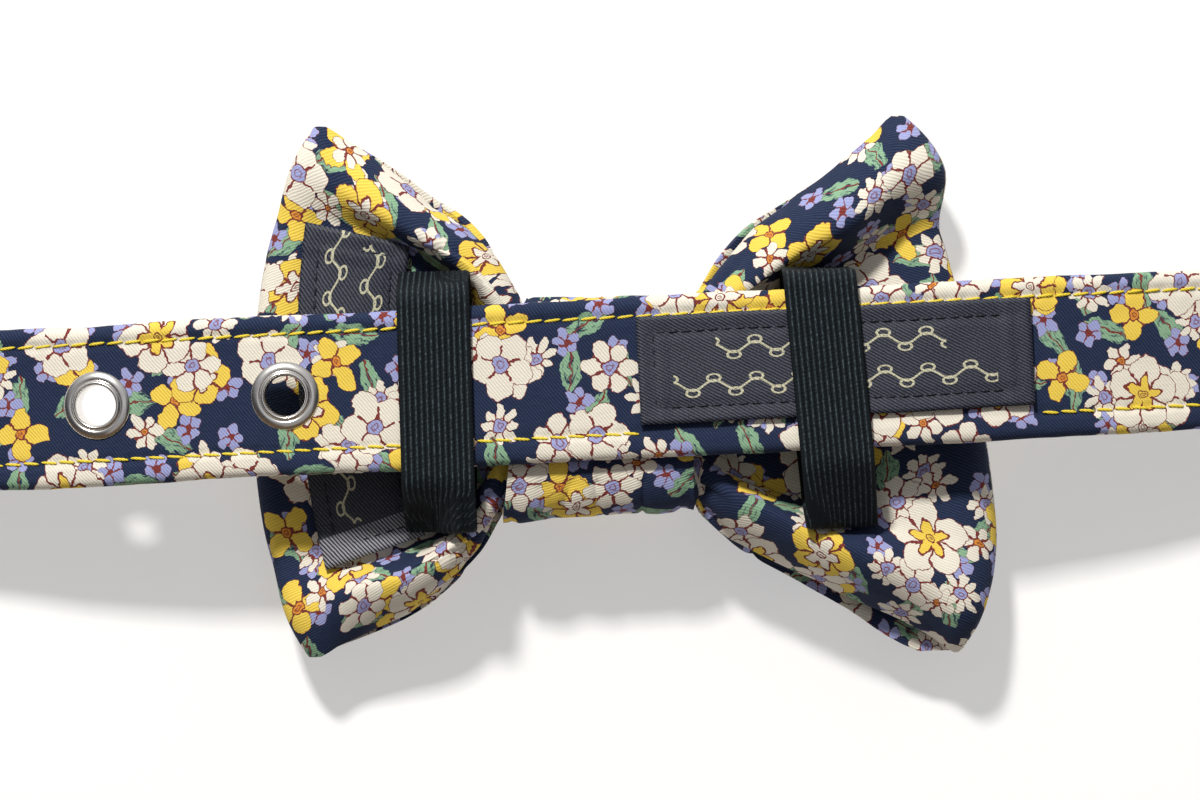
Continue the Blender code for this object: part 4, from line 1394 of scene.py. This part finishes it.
def label_relief(distance_along, distance_aside, length):
    """A label's stitched-down border and the turned-under hems at its ends."""
    from_end = min(distance_along, length - distance_along)
    from_side = LABEL_WIDTH / 2 - abs(distance_aside)
    inset = min(from_end, from_side) - LABEL_STITCH_INSET
    hem = ease((LABEL_HEM - from_end) / (0.3 * MM))
    return LABEL_HEM_RISE * hem - LABEL_GROOVE * hump(inset, LABEL_GROOVE_WIDTH)


def label_stitches(name, at, length, finish):
    """A rectangle of small stitches inside the edge of a label that lies at(along, aside)."""
    near, far = LABEL_STITCH_INSET, length - LABEL_STITCH_INSET
    aside = LABEL_WIDTH / 2 - LABEL_STITCH_INSET
    corners = [Vector(c) for c in ((near, -aside), (far, -aside), (far, aside), (near, aside))]
    upright = Vector((0, 0, 1))
    lift = upright * (LABEL_THICKNESS / 2 - LABEL_STITCH_SINK)
    long = LABEL_STITCH_PITCH * LABEL_STITCH_SHARE
    bm = bmesh.new()
    for start, end in zip(corners, corners[1:] + corners[:1]):
        count = max(1, round((end - start).length / LABEL_STITCH_PITCH))
        for i in range(count):
            middle = at(*start.lerp(end, (i + 0.5) / count)) + lift
            ahead = at(*start.lerp(end, (i + 0.6) / count)) + lift
            run = (ahead - middle).normalized()
            side = upright.cross(run).normalized()
            add_stitch(bm, middle, run, run.cross(side), long, LABEL_STITCH_THICKNESS)
    settle(new_object(name, bm, finish))


def build_label(node, at, length, lengthwise, seed, finish, stitch_finish):
    """A ribbon that lies at(along, aside), walled, and sewn down round its edge."""
    columns = round(length / LABEL_STEP)

    def place(column, across):
        return at(column / columns * length, across * LABEL_WIDTH / 2)

    def relief(column, across, u, v):
        ridge = label_relief(column / columns * length, across * LABEL_WIDTH / 2, length)
        return ridge + LABEL_RIPPLE * ripple(u / 6, v / 6, seed)

    bm = placed_sheet(columns, LABEL_ROWS, place, relief, lengthwise)
    label = new_object(f"{node}_ribbon", bm, finish)
    add_wall(label, LABEL_THICKNESS)
    settle(label, node)
    label_stitches(f"{node}_stitches", at, length, stitch_finish)


def build_strap_label(finish, stitch_finish):
    lift = STRAP_THICKNESS / 2 + SEAT_GAP + LABEL_THICKNESS / 2

    def at(distance, aside):
        x = STRAP_LABEL_START + distance
        wander = LABEL_WANDER * ripple(x * 90, aside * 60, 3.0)
        y = STRAP_RISE + STRAP_LABEL_RISE + aside + wander
        return Vector((x, y, strap_level_at(x) + lift))

    build_label("strap_label", at, LABEL_LENGTH, 0, 8.0, finish, stitch_finish)


def build_bow_label(finish, stitch_finish):
    """The label follows the left wing's back layer, between the wing's end and the elastic."""
    lift = BOW_CLOTH / 2 + BOW_LABEL_GAP + LABEL_THICKNESS / 2
    length = BOW_LABEL_TOP - BOW_LABEL_BOTTOM

    def at(distance, aside):
        across = aside / (LABEL_WIDTH / 2)
        top = BOW_LABEL_TOP - across * BOW_LABEL_TOP_SLANT
        y = mix(BOW_LABEL_BOTTOM + across * BOW_LABEL_BOTTOM_SLANT, top, distance / length)
        bend = BOW_LABEL_BEND * (y / BOW_LABEL_TOP) ** 2
        x = BOW_LABEL_MIDDLE + bend - y * math.tan(BOW_LABEL_LEAN) + aside
        seat = seat_on_back(x, y * BOW_LABEL_STIFFNESS, lift)
        return turned_to_bow((seat.x, seat.y / BOW_LABEL_STIFFNESS, seat.z))

    build_label("bow_label", at, length, 1, 18.0, finish, stitch_finish)


def add_camera():
    """Straight above the strap, turned so that the strap climbs to the picture's right."""
    right = Vector((math.cos(PICTURE_TURN), -math.sin(PICTURE_TURN), 0))
    up = Vector((math.sin(PICTURE_TURN), math.cos(PICTURE_TURN), 0))
    lens = bpy.data.cameras.new("camera")
    lens.sensor_width = SENSOR_WIDTH
    shown_width = PICTURE_WIDTH / PICTURE_SCALE
    lens.lens = SENSOR_WIDTH * (CAMERA_HEIGHT - SHARP_LEVEL) / shown_width
    camera = bpy.data.objects.new("camera", lens)
    middle = right * PICTURE_MIDDLE[0] + up * PICTURE_MIDDLE[1]
    camera.location = middle + Vector((0, 0, CAMERA_HEIGHT))
    camera.rotation_euler = (0, 0, -PICTURE_TURN)
    bpy.context.scene.collection.objects.link(camera)
    bpy.context.scene.camera = camera


def add_light(lamp):
    """A square studio light aimed at the bow. Its azimuth runs from the picture's top to its left."""
    square = bpy.data.lights.new(lamp.name, "AREA")
    square.size = lamp.size
    square.energy = lamp.power
    square.color = lamp.tint
    light = bpy.data.objects.new(lamp.name, square)
    a, e = math.radians(lamp.azimuth), math.radians(lamp.elevation)
    sky = Vector((-math.sin(a) * math.cos(e), math.cos(a) * math.cos(e), math.sin(e)))
    light.location = sky * lamp.distance
    light.rotation_euler = (-sky).to_track_quat("-Z", "Y").to_euler()
    bpy.context.scene.collection.objects.link(light)


def build_studio():
    bm = bmesh.new()
    bmesh.ops.create_grid(bm, x_segments=1, y_segments=1, size=FLOOR_SIZE)
    bmesh.ops.translate(bm, verts=bm.verts, vec=(0, 0, -FLOOR_DROP))
    floor = new_object("floor", bm, pale_floor())
    for lamp in LAMPS:
        add_light(lamp)
    world = bpy.data.worlds.new("studio")
    world.use_nodes = True
    world.node_tree.nodes.clear()
    bench = Bench(world.node_tree)
    _, y, z = bench.split(bench.wire("TexCoord"))
    lit = bench.rise(y + z * 0.7, 0.3, 1.2)
    tint = bench.blend(lit, colour(0.05, 0.05, 0.055), colour(0.55, 0.55, 0.56))
    warm = bench.rise(y * -1 - z * 0.2, 0.1, 0.6)
    tint = bench.blend(warm, tint, colour(0.13, 0.085, 0.05))
    sky = bench.node("Background", None, {"Color": tint, "Strength": 1.0})
    bench.node("OutputWorld", None, {"Surface": Wire(bench, sky.outputs[0])})
    bpy.context.scene.world = world
    bpy.context.scene.view_settings.view_transform = "Standard"


def build():
    print_tree = make_print()
    strap_cotton, bow_cotton, knot_cotton = [
        printed_cotton(cut.name, print_tree, cut.shift, cut.turn, cut.weave_lean)
        for cut in COTTON_CUTS
    ]
    yellow_thread = thread("yellow_thread", colour(0.95, 0.74, 0.05))
    navy_thread = thread("navy_thread", colour(0.010, 0.012, 0.025))
    braid = ribbed_elastic()
    ribbon = woven_label("woven_label", 0.0)
    turned_ribbon = woven_label("turned_woven_label", LABEL_HEM / MM)
    steel = nickel("eyelet_nickel", (0.86, 0.84, 0.81))
    buckle_steel = nickel("buckle_nickel", (0.70, 0.69, 0.67))

    add_camera()
    build_studio()
    build_strap(strap_cotton)
    build_hem_stitches(yellow_thread)
    build_eyelets(steel)
    build_buckle(buckle_steel)
    build_strap_label(ribbon, navy_thread)
    build_bow(bow_cotton)
    build_knot(knot_cotton)
    build_bow_label(turned_ribbon, navy_thread)
    build_elastics(braid)


build()
